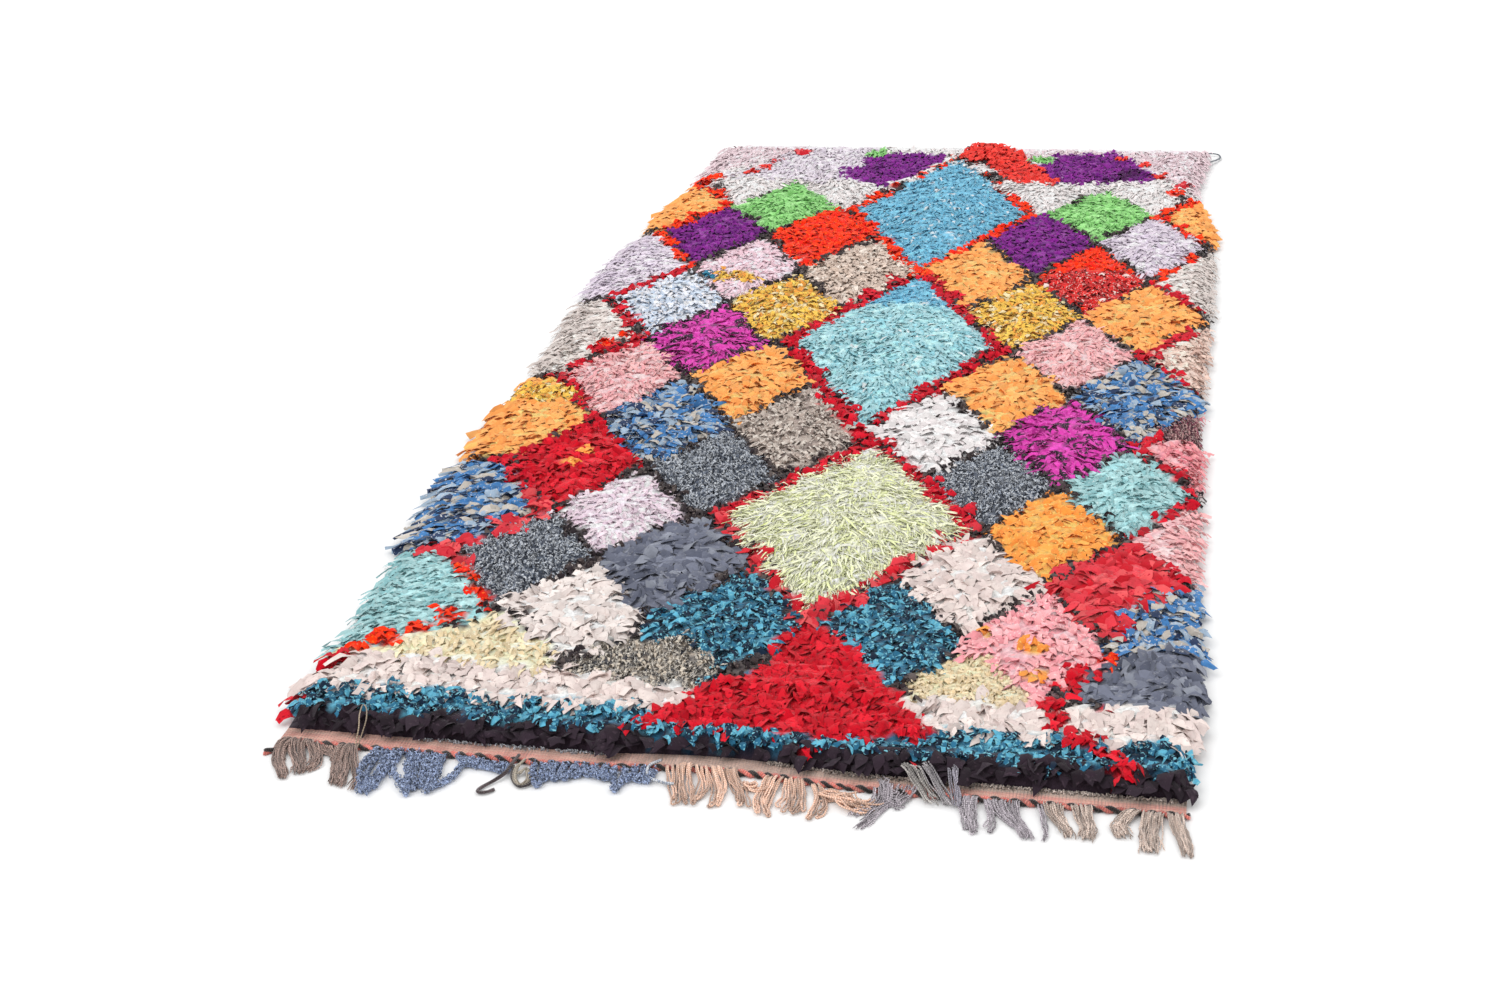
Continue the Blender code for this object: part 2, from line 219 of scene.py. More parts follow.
# Single knots of another cloth: cloth, x, y, radius
ODD_KNOTS = (
    ("coral", -0.355, 1.205, 0.016), ("coral", -0.395, 1.14, 0.013), ("tomato", -0.425, 1.085, 0.015),
    ("tomato", -0.445, 1.045, 0.014), ("vermilion", -0.515, 0.995, 0.018), ("green", -0.18, 1.205, 0.023),
    ("green", 0.195, 1.175, 0.021), ("tomato", 0.37, 1.20, 0.014), ("tomato", 0.42, 1.16, 0.015),
    ("tomato", 0.455, 1.07, 0.016), ("coral", 0.50, 1.02, 0.014), ("vermilion", 0.49, 0.96, 0.016),
    ("charcoal", 0.51, 0.94, 0.012), ("charcoal", -0.49, 0.93, 0.018), ("teal", -0.385, 0.38, 0.012),
    ("amber", 0.36, -0.985, 0.015), ("amber", 0.37, -1.05, 0.014), ("amber", 0.30, -0.95, 0.010),
    ("vermilion", 0.455, -0.99, 0.014), ("red", 0.43, -1.03, 0.014), ("red", 0.41, -1.07, 0.015),
    ("red", 0.395, -1.12, 0.016), ("red", 0.405, -1.155, 0.018), ("red", 0.44, -1.195, 0.018),
    ("red", 0.47, -1.222, 0.014), ("red", 0.49, -1.255, 0.016), ("red", -0.575, -1.222, 0.011),
    ("red", -0.572, -1.270, 0.010), ("red", 0.11, -1.262, 0.007), ("red", 0.245, -1.276, 0.006),
    ("vermilion", -0.445, -0.995, 0.018), ("vermilion", -0.475, -1.04, 0.015),
    ("vermilion", -0.51, -1.075, 0.018), ("vermilion", -0.535, -1.105, 0.012),
    ("red", -0.555, -1.14, 0.017), ("charcoal", -0.43, -1.02, 0.010), ("vermilion", -0.49, 0.01, 0.016),
    ("red", -0.50, -0.02, 0.014), ("vermilion", -0.47, 0.05, 0.012),
    ("amber", -0.40, -0.45, 0.012), ("amber", -0.43, -0.50, 0.010),
)

# The cloths: how they are cut, their colours (red, green, blue up to 255) with the share of each,
# corrected by setting each cloth's mean tone against the photo's, and the colour and share of flecks
CLOTHS = {
    "apricot": ("jersey", ((0.65, (250, 174, 98)), (0.35, (244, 158, 82))), (236, 146, 76), 0.04),
    "amber": ("jersey", ((0.6, (250, 162, 76)), (0.4, (242, 146, 62))), (255, 200, 110), 0.04),
    # The slate's paler third share is painted light, rags lit on their folds; its other two shares are the
    # cloth's own tones
    "slate": (
        "jersey", ((0.5, (112, 116, 132)), (0.35, (92, 96, 112)), (0.15, (132, 136, 148))),
        (130, 132, 142), 0.05,
    ),
    "white": ("jersey", ((0.7, (231, 226, 225)), (0.3, (223, 215, 215))), (207, 198, 200), 0.04),
    "blush": ("jersey", ((0.6, (231, 216, 210)), (0.4, (223, 206, 201))), (211, 192, 188), 0.04),
    "cream": ("jersey", ((0.7, (231, 220, 215)), (0.3, (223, 210, 205))), (211, 194, 188), 0.04),
    "coral": (
        "jersey", ((0.5, (214, 54, 66)), (0.3, (200, 24, 40)), (0.2, (230, 84, 88))),
        (190, 24, 46), 0.04,
    ),
    "aubergine": ("jersey", ((0.6, (46, 34, 44)), (0.4, (34, 24, 32))), (62, 48, 58), 0.04),
    "red": ("rags", ((0.6, (200, 4, 30)), (0.4, (220, 24, 44))), (170, 4, 30), 0.08),
    "crimson": ("rags", ((0.6, (196, 6, 34)), (0.4, (216, 24, 46))), (150, 6, 32), 0.08),
    "tomato": ("rags", ((0.6, (236, 58, 48)), (0.4, (224, 46, 40))), (246, 88, 72), 0.06),
    "vermilion": ("rags", ((0.6, (252, 50, 2)), (0.4, (238, 26, 2))), (255, 100, 28), 0.10),
    "purple": ("rags", ((0.6, (134, 34, 142)), (0.4, (106, 20, 120))), (80, 8, 94), 0.08),
    "deep_purple": ("rags", ((0.6, (74, 6, 80)), (0.4, (92, 18, 104))), (50, 4, 60), 0.08),
    "rose": ("rags", ((0.6, (248, 176, 180)), (0.4, (240, 158, 166))), (254, 208, 206), 0.08),
    "charcoal": (
        "rags", ((0.5, (46, 38, 42)), (0.3, (68, 58, 58)), (0.2, (94, 84, 82))),
        (110, 100, 96), 0.10,
    ),
    "teal": ("rags", ((1.0, (50, 130, 160)),), (30, 90, 120), 0.10),
    "salmon": ("strips", ((0.6, (242, 184, 184)), (0.4, (235, 167, 171))), (244, 204, 202), 0.06),
    "rosy": ("strips", ((0.6, (240, 158, 162)), (0.4, (228, 130, 142))), (246, 190, 190), 0.06),
    "sky": (
        "strips", ((0.66, (111, 179, 207)), (0.31, (90, 164, 196)), (0.03, (214, 222, 227))),
        (179, 209, 222), 0.05,
    ),
    "lagoon": (
        "strips", ((0.64, (167, 211, 218)), (0.345, (141, 198, 209)), (0.015, (218, 228, 230))),
        (196, 222, 226), 0.05,
    ),
    "aqua": ("strips", ((0.6, (165, 205, 207)), (0.4, (141, 190, 194))), (194, 218, 218), 0.06),
    "green": ("strips", ((0.6, (149, 211, 130)), (0.4, (126, 196, 107))), (103, 169, 86), 0.06),
    "dusty_pink": ("strips", ((0.6, (229, 207, 212)), (0.4, (220, 194, 201))), (235, 218, 222), 0.05),
    "pale_lilac": ("strips", ((0.6, (221, 210, 219)), (0.4, (210, 199, 212))), (229, 221, 227), 0.05),
    "lilac": ("strips", ((0.6, (220, 207, 220)), (0.4, (207, 194, 211))), (230, 220, 228), 0.05),
    "pale_pink": ("strips", ((0.6, (238, 207, 217)), (0.4, (232, 194, 205))), (241, 222, 226), 0.05),
    "pale_blush": ("strips", ((0.6, (234, 215, 224)), (0.4, (224, 201, 215))), (239, 228, 232), 0.05),
    "chalk": ("strips", ((0.6, (235, 228, 227)), (0.4, (227, 218, 217))), (239, 235, 233), 0.04),
    "greige": ("strips", ((0.6, (221, 210, 204)), (0.4, (208, 195, 190))), (228, 221, 217), 0.08),
    "straw": ("strips", ((0.6, (240, 224, 188)), (0.4, (228, 206, 166))), (252, 240, 214), 0.06),
    "petrol": (
        "shreds", ((0.40, (44, 108, 140)), (0.24, (96, 176, 204)), (0.36, (20, 40, 62))),
        (128, 196, 212), 0.14,
    ),
    "blue_print": (
        "shreds", (
            (0.40, (70, 126, 184)), (0.24, (156, 176, 196)),
            (0.18, (194, 186, 176)), (0.18, (46, 62, 94)),
        ), (206, 206, 208), 0.05,
    ),
    "floral": (
        "shreds", ((0.64, (252, 200, 86)), (0.20, (244, 164, 70)), (0.16, (248, 226, 178))),
        (140, 132, 80), 0.10,
    ),
    "ice": (
        "shreds", ((0.55, (230, 232, 240)), (0.30, (206, 218, 234)), (0.15, (246, 242, 244))),
        (172, 192, 218), 0.14,
    ),
    "red_check": (
        "shreds", ((0.64, (222, 40, 38)), (0.33, (188, 26, 32)), (0.03, (240, 214, 206))),
        (240, 204, 194), 0.08,
    ),
    "taupe": (
        "shreds", ((0.5, (176, 160, 150)), (0.3, (206, 194, 184)), (0.2, (136, 120, 114))),
        (222, 212, 202), 0.20,
    ),
    "sand_print": (
        "shreds", ((0.5, (226, 206, 192)), (0.3, (208, 186, 170)), (0.2, (240, 226, 214))),
        (176, 154, 142), 0.16,
    ),
    "slate_melange": (
        "yarn", ((0.45, (98, 108, 126)), (0.33, (58, 64, 80)), (0.22, (146, 152, 164))),
        (216, 220, 224), 0.26,
    ),
    "stone_melange": (
        "yarn", ((0.42, (142, 134, 128)), (0.36, (60, 62, 74)), (0.22, (206, 190, 172))),
        (226, 218, 204), 0.26,
    ),
    "sand": (
        "strips", ((0.5, (228, 198, 184)), (0.3, (210, 174, 160)), (0.2, (238, 214, 202))),
        (170, 140, 128), 0.10,
    ),
    "plum": (
        "yarn", ((0.4, (136, 60, 86)), (0.3, (166, 118, 120)), (0.3, (72, 28, 52))),
        (204, 176, 168), 0.22,
    ),
    "magenta": (
        "strips", ((0.66, (214, 58, 170)), (0.14, (168, 34, 130)), (0.20, (48, 34, 48))),
        (230, 100, 190), 0.12,
    ),
    "lime": (
        "fluff", ((0.55, (246, 248, 212)), (0.25, (238, 244, 184)), (0.20, (232, 232, 218))),
        (218, 218, 204), 0.08,
    ),
    "popcorn": ("nubs", ((0.6, (238, 218, 182)), (0.4, (224, 200, 160))), (250, 238, 214), 0.10),
}
CLOTH_NAMES = tuple(CLOTHS)

# How each kind of rag is cut and knotted, in metres. Columns: piece name, spacing, narrowest, widest,
# shortest reach, longest reach, rise above the pile, droop, root width, tip width (as shares),
# crumple, points across, size of its flecks
CUTS = {
    "jersey": (
        "jersey_rags", 0.0106, 0.011, 0.019, 0.018, 0.031, 0.0022, 0.006, 0.45, 0.75, 0.0008, 3, 0.006,
    ),
    "rags": (
        "crumpled_rags", 0.0096, 0.008, 0.016, 0.013, 0.027, 0.0035, 0.005, 0.5, 0.52, 0.0013, 3, 0.005,
    ),
    "strips": (
        "cut_strips", 0.0078, 0.004, 0.0085, 0.015, 0.03, 0.0035, 0.005, 0.7, 0.45, 0.0007, 2, 0.004,
    ),
    "shreds": (
        "print_shreds", 0.009, 0.006, 0.013, 0.014, 0.028, 0.0036, 0.004, 0.6, 0.65, 0.0011, 3, 0.0048,
    ),
    "yarn": (
        "melange_yarn", 0.0056, 0.0022, 0.0042, 0.006, 0.014, 0.003, 0.004, 1.0, 0.7, 0.0008, 2, 0.0016,
    ),
    "fluff": (
        "lime_fluff", 0.0042, 0.0012, 0.0032, 0.024, 0.05, 0.0035, 0.005, 1.0, 0.3, 0.0007, 2, 0.003,
    ),
    "nubs": (
        "cream_nubs", 0.0078, 0.006, 0.009, 0.005, 0.011, 0.002, 0.006, 0.8, 0.85, 0.001, 3, 0.002,
    ),
}
# How evenly each kind of cut fills its diamond, from 0 with dark gaps to 1 with none
# It also lightens the painted shade at the rags' roots, raises the packed knots and paints them lighter
# against the shadow in the gaps
CALM = {"strips": 1.0, "fluff": 1.0, "jersey": 1.0, "rags": 0.75, "nubs": 0.7, "shreds": 0.40}
CUT_COLUMNS = (
    "piece", "spacing", "narrow", "wide", "short", "long", "rise", "droop", "root", "tip", "crumple",
    "across", "fleck",
)
# Cloths that are torn larger or smaller than the rest of their kind
CUT_SIZES = {
    "coral": 1.35, "slate": 1.25, "blush": 1.15, "red": 1.15, "crimson": 1.1, "vermilion": 1.1,
    "aubergine": 1.15, "blue_print": 1.45, "petrol": 0.85, "charcoal": 0.7, "magenta": 1.5,
    "taupe": 0.8, "floral": 0.9, "straw": 1.15, "purple": 0.85, "pale_blush": 0.9, "amber": 0.9,
    "cream": 1.1,
}
STATIONS = 5  # points along each rag
COARSE_RIB = 0.0016  # the knit ribs or threads along a rag: their pitch and depth
FINE_RIB = 0.0010
RIB_DEPTH = 0.00012
CLEARANCE = 0.0006  # the least height of a rag over what it lies on
LOWEST_TOP = 0.006
FIRST_SEED = 101
SEED_STEP = 10

# The flat woven band and the cord
BAND_ROW = 0.0021
WARP_PITCH = 0.0042
SALMON_WEFT = ((0.78, 0.33, 0.28, 1.0), (0.86, 0.50, 0.40, 1.0))
BEIGE_WEFT = ((0.74, 0.55, 0.44, 1.0), (0.42, 0.34, 0.31, 1.0))
# Painted shadow: the near black that the weave's top is painted where the pile covers it
SHADE_UNDER_PILE = (0.10, 0.06, 0.06, 1.0)
FAR_EDGE = (0.66, 0.54, 0.46, 1.0)
CORD_PITCH = 0.0230
CORD_RADIUS = 0.0031
CORD_OFFSET = 0.0048  # how far before the weave's end its middle lies
CORD_PAST = (0.008, 0.004)  # how far it runs past the weave's left and right corners
CORD_HEIGHT = 0.0036
CORD_SWING = (0.0026, 0.0020)  # how far each strand swings across and up
CORD_TURN_STATIONS = 12
CORD_DROOP = 0.028
CORD_DROOP_START = -0.549

# The photo's camera: a full-frame sensor and a 50 mm lens, 1.4 m above the floor
CAMERA_PLACE = Vector((0.5433, -3.3959 + PATTERN_SHIFT, 1.4365))
CAMERA_TURN = Matrix((
    (0.9777682, -0.0548874, 0.20237765),
    (0.20564939, 0.4395307, -0.87436897),
    (-0.04095935, 0.89654901, 0.44104671),
))
LENS = 50.0
SENSOR_WIDTH = 35.9


def ease(share):
    """A smooth step from 0 to 1, for numbers and arrays."""
    share = np.clip(share, 0.0, 1.0)
    return share * share * (3.0 - 2.0 * share)


def linear(colour):
    """A colour up to 255, as seen on a screen, as Blender's linear numbers."""
    share = np.asarray(colour, float) / 255.0
    return np.where(share <= 0.04045, share / 12.92, ((share + 0.055) / 1.055) ** 2.4)


def drift(x, y, size, seed):
    """A smooth wandering field of about -1 to 1, with waves of about the given size."""
    rng = np.random.default_rng(seed)
    total = np.zeros(np.broadcast(x, y).shape)
    waves = 7
    for _ in range(waves):
        angle = rng.uniform(0.0, TURN)
        rate = TURN / size * rng.uniform(0.6, 1.6)
        total += np.sin(rate * (x * math.cos(angle) + y * math.sin(angle)) + rng.uniform(0.0, TURN))
    return total / math.sqrt(waves)


def side_line(y, column):
    """The x of one side of the weave at y, eased between the rows of SIDE_LINES."""
    table = np.array(SIDE_LINES)
    row = np.clip(np.searchsorted(table[:, 0], y) - 1, 0, len(table) - 2)
    share = ease((y - table[row, 0]) / (table[row + 1, 0] - table[row, 0]))
    return table[row, column] + share * (table[row + 1, column] - table[row, column])


def bent(x, y):
    """The y at x of a weft that crosses the rug at y: bowed by the near end, slanted by the far end."""
    bow = ease(1.0 - np.abs(x) / BOW_HALF_WIDTH) * ease(1.0 - (y - NEAR_END) / BOW_REACH)
    slant = x / RUG_WIDTH * ease(1.0 - (FAR_END - y) / SLANT_REACH)
    return y + NEAR_BOW * bow + END_SLANT * slant


def middle_line(y):
    """The x of the line that the big diamonds stand on, which drifts right towards the near end."""
    return 0.01 + 0.04 * ease((0.3 - y) / 1.3)


def lattice_diamonds():
    """Every small diamond: cloth index, x, y, half length down and up, 0 or its edge side, half width.

    The columns right of the middle line are squeezed where it drifts that way.
    """
    found = []
    rows = [row[0] for row in LATTICE]
    for number, (y, left, right) in enumerate(LATTICE):
        below = y - rows[number - 1] if number else 0.165
        above = rows[number + 1] - y if number + 1 < len(rows) else 0.17
        columns = ODD_COLUMNS if number % 2 else EVEN_COLUMNS
        left, right = left.split(), right.split()
        for cloth, column in zip(left, columns):
            side = -1 if column == EDGE_COLUMN else 0
            place = middle_line(y) - column
            found.append((CLOTH_NAMES.index(cloth), place, y, below, above, side, SMALL_HALF_WIDTH))
        for cloth, column in zip(right[::-1], columns):
            side = 1 if column == EDGE_COLUMN else 0
            squeeze = (EDGE_COLUMN + 0.01 - middle_line(y)) / EDGE_COLUMN
            place = middle_line(y) + column * squeeze
            half = SMALL_HALF_WIDTH * squeeze
            found.append((CLOTH_NAMES.index(cloth), place, y, below, above, side, half))
    return found


DIAMONDS = np.array(lattice_diamonds())


def diamond_shares(x, y, diamonds):
    """How far each point lies from each diamond's middle: 1 on its outline."""
    shares = []
    for _, middle_x, middle_y, below, above, side, wide in diamonds:
        across = x - middle_x
        if side:
            across = np.minimum(across * side, 0.0)
        along = y - middle_y
        half = np.where(along < 0.0, below, above)
        share = np.abs(across / wide) ** ROUNDNESS + np.abs(along / half) ** ROUNDNESS
        shares.append(share ** (1.0 / ROUNDNESS))
    return np.array(shares)


def inside(x, y, corners):
    """Which points lie inside the corners' outline."""
    held = np.zeros(x.shape, bool)
    last_x, last_y = corners[-1]
    for here_x, here_y in corners:
        crosses = (here_y > y) != (last_y > y)
        rise = last_y - here_y
        edge = here_x + (y - here_y) * (last_x - here_x) / (rise if rise else 1.0)
        held ^= crosses & (x < edge)
        last_x, last_y = here_x, here_y
    return held


def cloth_at(x, y):
    """What is knotted at each point: its cloth's index, whether it is a seam, its lean and its room.

    The lean is the way its rags fall: out of a diamond's middle, out of the rug along its sides and
    towards the near end elsewhere. The room is 0 at a seam and 1 well inside a diamond.
    """
    wander_x = x + WANDER_X[0] * drift(x, y, *WANDER_X[1:])
    wander_y = y + WANDER_Y[0] * drift(x, y, *WANDER_Y[1:])
    shares = diamond_shares(wander_x, wander_y, DIAMONDS)
    order = np.argsort(shares, axis=0)[:3]
    first, second, third = np.take_along_axis(shares, order, axis=0)
    best = DIAMONDS[order[0]]
    cloth = best[..., 0].astype(int)
    side = best[..., 5]
    lean = np.stack([x - best[..., 1], LEAN_ALONG * (y - best[..., 2])], axis=-1) / SMALL_HALF_WIDTH
    outwards = np.stack([SIDE_LEAN[0] * side, SIDE_LEAN[1] + 0.0 * side], axis=-1)
    lean = np.where(side[..., None] != 0, outwards, lean)
    gap = second - first
    room = ease(gap / ROOM_REACH)
    clumps = drift(x, y, *CLUMPS)
    uneven = drift(x, y, *WIDE_CLUMPS) + 0.8 * clumps
    at_edge = (side != 0) | (DIAMONDS[order[1]][..., 5] != 0)
    seam = (gap < SEAM_WIDTH) | (first > SMALL_EDGE)
    corner = (third - first < CORNER_REACH) & (gap < CORNER_GAP)
    charcoal, crimson, vermilion, coral = (
        CLOTH_NAMES.index(name) for name in ("charcoal", "crimson", "vermilion", "coral")
    )
    at_left = x < LEFT_PART
    warm = np.where((y > VERMILION_FROM) | (at_left & (y < CORAL_ROWS[0])), vermilion, crimson)
    warm = np.where(at_left & (y < CORAL_ROWS[1]) & (y > CORAL_ROWS[0]), coral, warm)
    dark = (seam & (uneven > DARK_FROM)) | (corner & (clumps > DARK_CORNER_FROM))
    dark &= (y < SPARSE_FROM) | (uneven > DARK_FROM_SPARSE)
    zigzag = at_edge & (gap < SEAM_WIDTH) & (clumps < ZIGZAG_BELOW) & (np.abs(x) < ZIGZAG_HALF_WIDTH)
    cloth = np.where(dark, charcoal, cloth)
    cloth = np.where(zigzag, warm, cloth)
    seams = dark | zigzag
    for name, middle_x, middle_y, half_width, half_length in BIG_DIAMONDS:
        across, along = (wander_x - middle_x) / half_width, (wander_y - middle_y) / half_length
        share = np.abs(across) + np.abs(along)
        ring = (share > RING_START) & (share < 1.0 + RING_WIDTH)
        if name == "sky":
            ring &= (wander_y < 0.93) | (clumps > 0.35)
        colour = warm if name != "lime" else np.where(wander_y < middle_y, coral, crimson)
        cloth = np.where(ring, np.where(clumps > 0.75, charcoal, colour), cloth)
        cloth = np.where(share <= RING_START, CLOTH_NAMES.index(name), cloth)
        seams = (seams | ring) & (share > RING_START)
        outwards = np.stack([0.8 * across, 0.7 * along - 0.25], axis=-1)
        lean = np.where((share <= 1.0)[..., None], outwards, lean)
        room = np.where(share <= 1.0, ease((1.0 - share) / BIG_ROOM_REACH), room)
    for name, corners in PATCHES:
        held = inside(wander_x, wander_y, corners)
        if name == "sky":
            held &= cloth == CLOTH_NAMES.index("lagoon")
        cloth = np.where(held, CLOTH_NAMES.index(name), cloth)
        seams &= ~held
        if name != "sky":
            lean = np.where(held[..., None], FIELD_LEAN, lean)
            room = np.where(held, 1.0, room)
    for name, knot_x, knot_y, radius in ODD_KNOTS:
        held = np.hypot(x - knot_x, y - knot_y) < radius
        cloth = np.where(held, CLOTH_NAMES.index(name), cloth)
        seams |= held
    return cloth, seams, lean, room


def pile_height(x, y):
    """Height of the pile's surface: mounds in the diamonds, ridges at the near end, a rounded rim."""
    small = np.clip(1.0 - diamond_shares(x, y, DIAMONDS).min(axis=0), 0.0, 1.0)
    big = np.zeros(x.shape)
    for _, middle_x, middle_y, half_width, half_length in BIG_DIAMONDS:
        share = 1.0 - np.abs(x - middle_x) / half_width - np.abs(y - middle_y) / half_length
        big = np.maximum(big, share)
    mound = np.maximum(BIG_MOUND_HEIGHT * np.sqrt(big), MOUND_HEIGHT * np.sqrt(small))
    height = VALLEY_HEIGHT + mound
    field = (y < DIAMONDS_START) | (y > DIAMONDS_END)
    height = np.where(field, np.maximum(height, FIELD_HEIGHT), height)
    for ridge_y, half_width, extra in NEAR_RIDGES:
        height += extra * ease(1.0 - np.abs(y - bent(x, ridge_y)) / half_width)
    height += 0.3 * peak_rise(x, y)
    return RIM_HEIGHT + (height - RIM_HEIGHT) * ease(0.3 + edge_distance(x, y)[0] / RIM_ROLL)


def peak_rise(x, y):
    """How much taller the red rags at the far end stand."""
    peak_x, peak_y, reach, extra = PEAK
    return extra * ease(1.0 - np.hypot(1.7 * (x - peak_x), y - peak_y) / reach)


def edge_distance(x, y):
    """How far each point lies inside the pile's nearest edge, and the way out of the rug there."""
    low = bent(x, NEAR_END) + NEAR_BAND
    high = bent(x, FAR_END) - FAR_BAND
    gaps = np.array([x - side_line(y, 1), side_line(y, 2) - x, y - low, high - y])
    ways = np.array(((-1.0, 0.0), (1.0, 0.0), (0.0, -1.0), (0.0, 1.0)))
    nearest = gaps.argmin(axis=0)
    return gaps.min(axis=0), ways[nearest]


def knot_places(spacing, rng):
    """Jittered, staggered places of knots all over the pile."""
    rows = np.arange(NEAR_END, FAR_END + END_SLANT, spacing * 0.866)
    columns = np.arange(-0.62, 0.60, spacing)
    x, y = np.meshgrid(columns, rows)
    x = x + np.where(np.arange(len(rows)) % 2, spacing / 2, 0.0)[:, None]
    x = (x + rng.uniform(-0.36, 0.36, x.shape) * spacing).ravel()
    y = (y + rng.uniform(-0.36, 0.36, y.shape) * spacing).ravel()
    gap, _ = edge_distance(x, y)
    held = gap > -0.003
    return x[held], y[held]


def new_mesh(name, points, quads):
    """An object of points and four-sided faces, moved from the pattern's place to the rug's."""
    points = np.asarray(points, np.float32).reshape(-1, 3).copy()
    points[:, 1] += PATTERN_SHIFT
    quads = np.asarray(quads, np.int32).reshape(-1, 4)
    data = bpy.data.meshes.new(name)
    data.vertices.add(len(points))
    data.vertices.foreach_set("co", points.ravel())
    data.loops.add(quads.size)
    data.loops.foreach_set("vertex_index", quads.ravel())
    data.polygons.add(len(quads))
    data.polygons.foreach_set("loop_start", np.arange(0, quads.size, 4, dtype=np.int32))
    data.polygons.foreach_set("use_smooth", np.ones(len(quads), bool))
    data.update(calc_edges=True)
    data.validate()
    thing = bpy.data.objects.new(name, data)
    bpy.context.scene.collection.objects.link(thing)
    return thing


def add_values(thing, name, values, kind):
    """Writes one value or vector for each point, for the material to read."""
    layer = thing.data.attributes.new(name, kind, "POINT")
    field = {"FLOAT": "value", "FLOAT_VECTOR": "vector", "FLOAT_COLOR": "color"}[kind]
    layer.data.foreach_set(field, np.asarray(values, np.float32).ravel())


def add_cells(thing, quads, count, stations, across):
    """A UV map with a cell of its own for each of the like strips that the mesh is made of."""
    layer = thing.data.uv_layers.new(name="OFBake")
    side = math.ceil(math.sqrt(count))
    cell = np.arange(count)
    margin = 0.12
    along = margin + (1 - 2 * margin) * np.linspace(0.0, 1.0, stations)
    over = margin + (1 - 2 * margin) * np.linspace(0.0, 1.0, across)
    u = (cell % side)[:, None, None] + over[None, None, :] + np.zeros((1, stations, 1))
    v = (cell // side)[:, None, None] + along[None, :, None] + np.zeros((1, 1, across))
    uv = np.stack([u, v], axis=-1).reshape(-1, 2) / side
    layer.data.foreach_set("uv", uv[np.asarray(quads).ravel()].astype(np.float32).ravel())


def strip_faces(count, stations, across):
    """The faces of like strips, each a grid of stations by points across."""
    start = np.arange(count)[:, None, None] * stations * across
    station = np.arange(stations - 1)[None, :, None] * across
    column = np.arange(across - 1)[None, None, :]
    corner = start + station + column
    return np.stack([corner, corner + 1, corner + across + 1, corner + across], axis=-1).reshape(-1, 4)


def sweep(paths, radii, sides, flat=1.0):
    """Tubes along paths of points. Gives their points and faces, with closed ends."""
    paths = np.asarray(paths, float)
    count, stations, _ = paths.shape
    tangent = np.gradient(paths, axis=1)
    tangent /= np.maximum(np.linalg.norm(tangent, axis=-1, keepdims=True), TINY)
    up = np.array((0.0, 0.0, 1.0))
    aside = np.cross(tangent, up)
    weak = np.linalg.norm(aside, axis=-1, keepdims=True) < 0.05
    aside = np.where(weak, np.array((1.0, 0.0, 0.0)), aside)
    aside /= np.linalg.norm(aside, axis=-1, keepdims=True)
    over = np.cross(aside, tangent)
    angle = TURN * np.arange(sides) / sides
    radii = np.broadcast_to(radii, (count, stations))[..., None, None]
    cosine, sine = np.cos(angle)[:, None], np.sin(angle)[:, None]
    ring = cosine * aside[:, :, None, :] + flat * sine * over[:, :, None, :]
    points = paths[:, :, None, :] + radii * ring
    return points, tube_faces(count, stations, sides)


def tube_faces(count, stations, sides):
    """The faces of like tubes with closed ends, on an even number of sides."""
    start = np.arange(count)[:, None, None] * stations * sides
    station = np.arange(stations - 1)[None, :, None] * sides
    side = np.arange(sides)[None, None, :]
    other = (side + 1) % sides
    walls = np.stack(
        [start + station + side, start + station + other,
         start + station + sides + other, start + station + sides + side], axis=-1
    ).reshape(-1, 4)
    caps = []
    for ring, order in ((0, -1), ((stations - 1) * sides, 1)):
        for step in range(sides // 2 - 1):
            corners = [0, 1 + 2 * step, 2 + 2 * step, 3 + 2 * step][::order]
            caps.append(np.arange(count)[:, None] * stations * sides + ring + np.array(corners))
    return np.concatenate([walls] + caps)


def dress(thing, material, replaced=()):
    """Rides a piece on the rug and gives it its material."""
    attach(thing, BODY)
    if replaced:
        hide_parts(*replaced)
    thing.data.materials.append(material)
    return thing


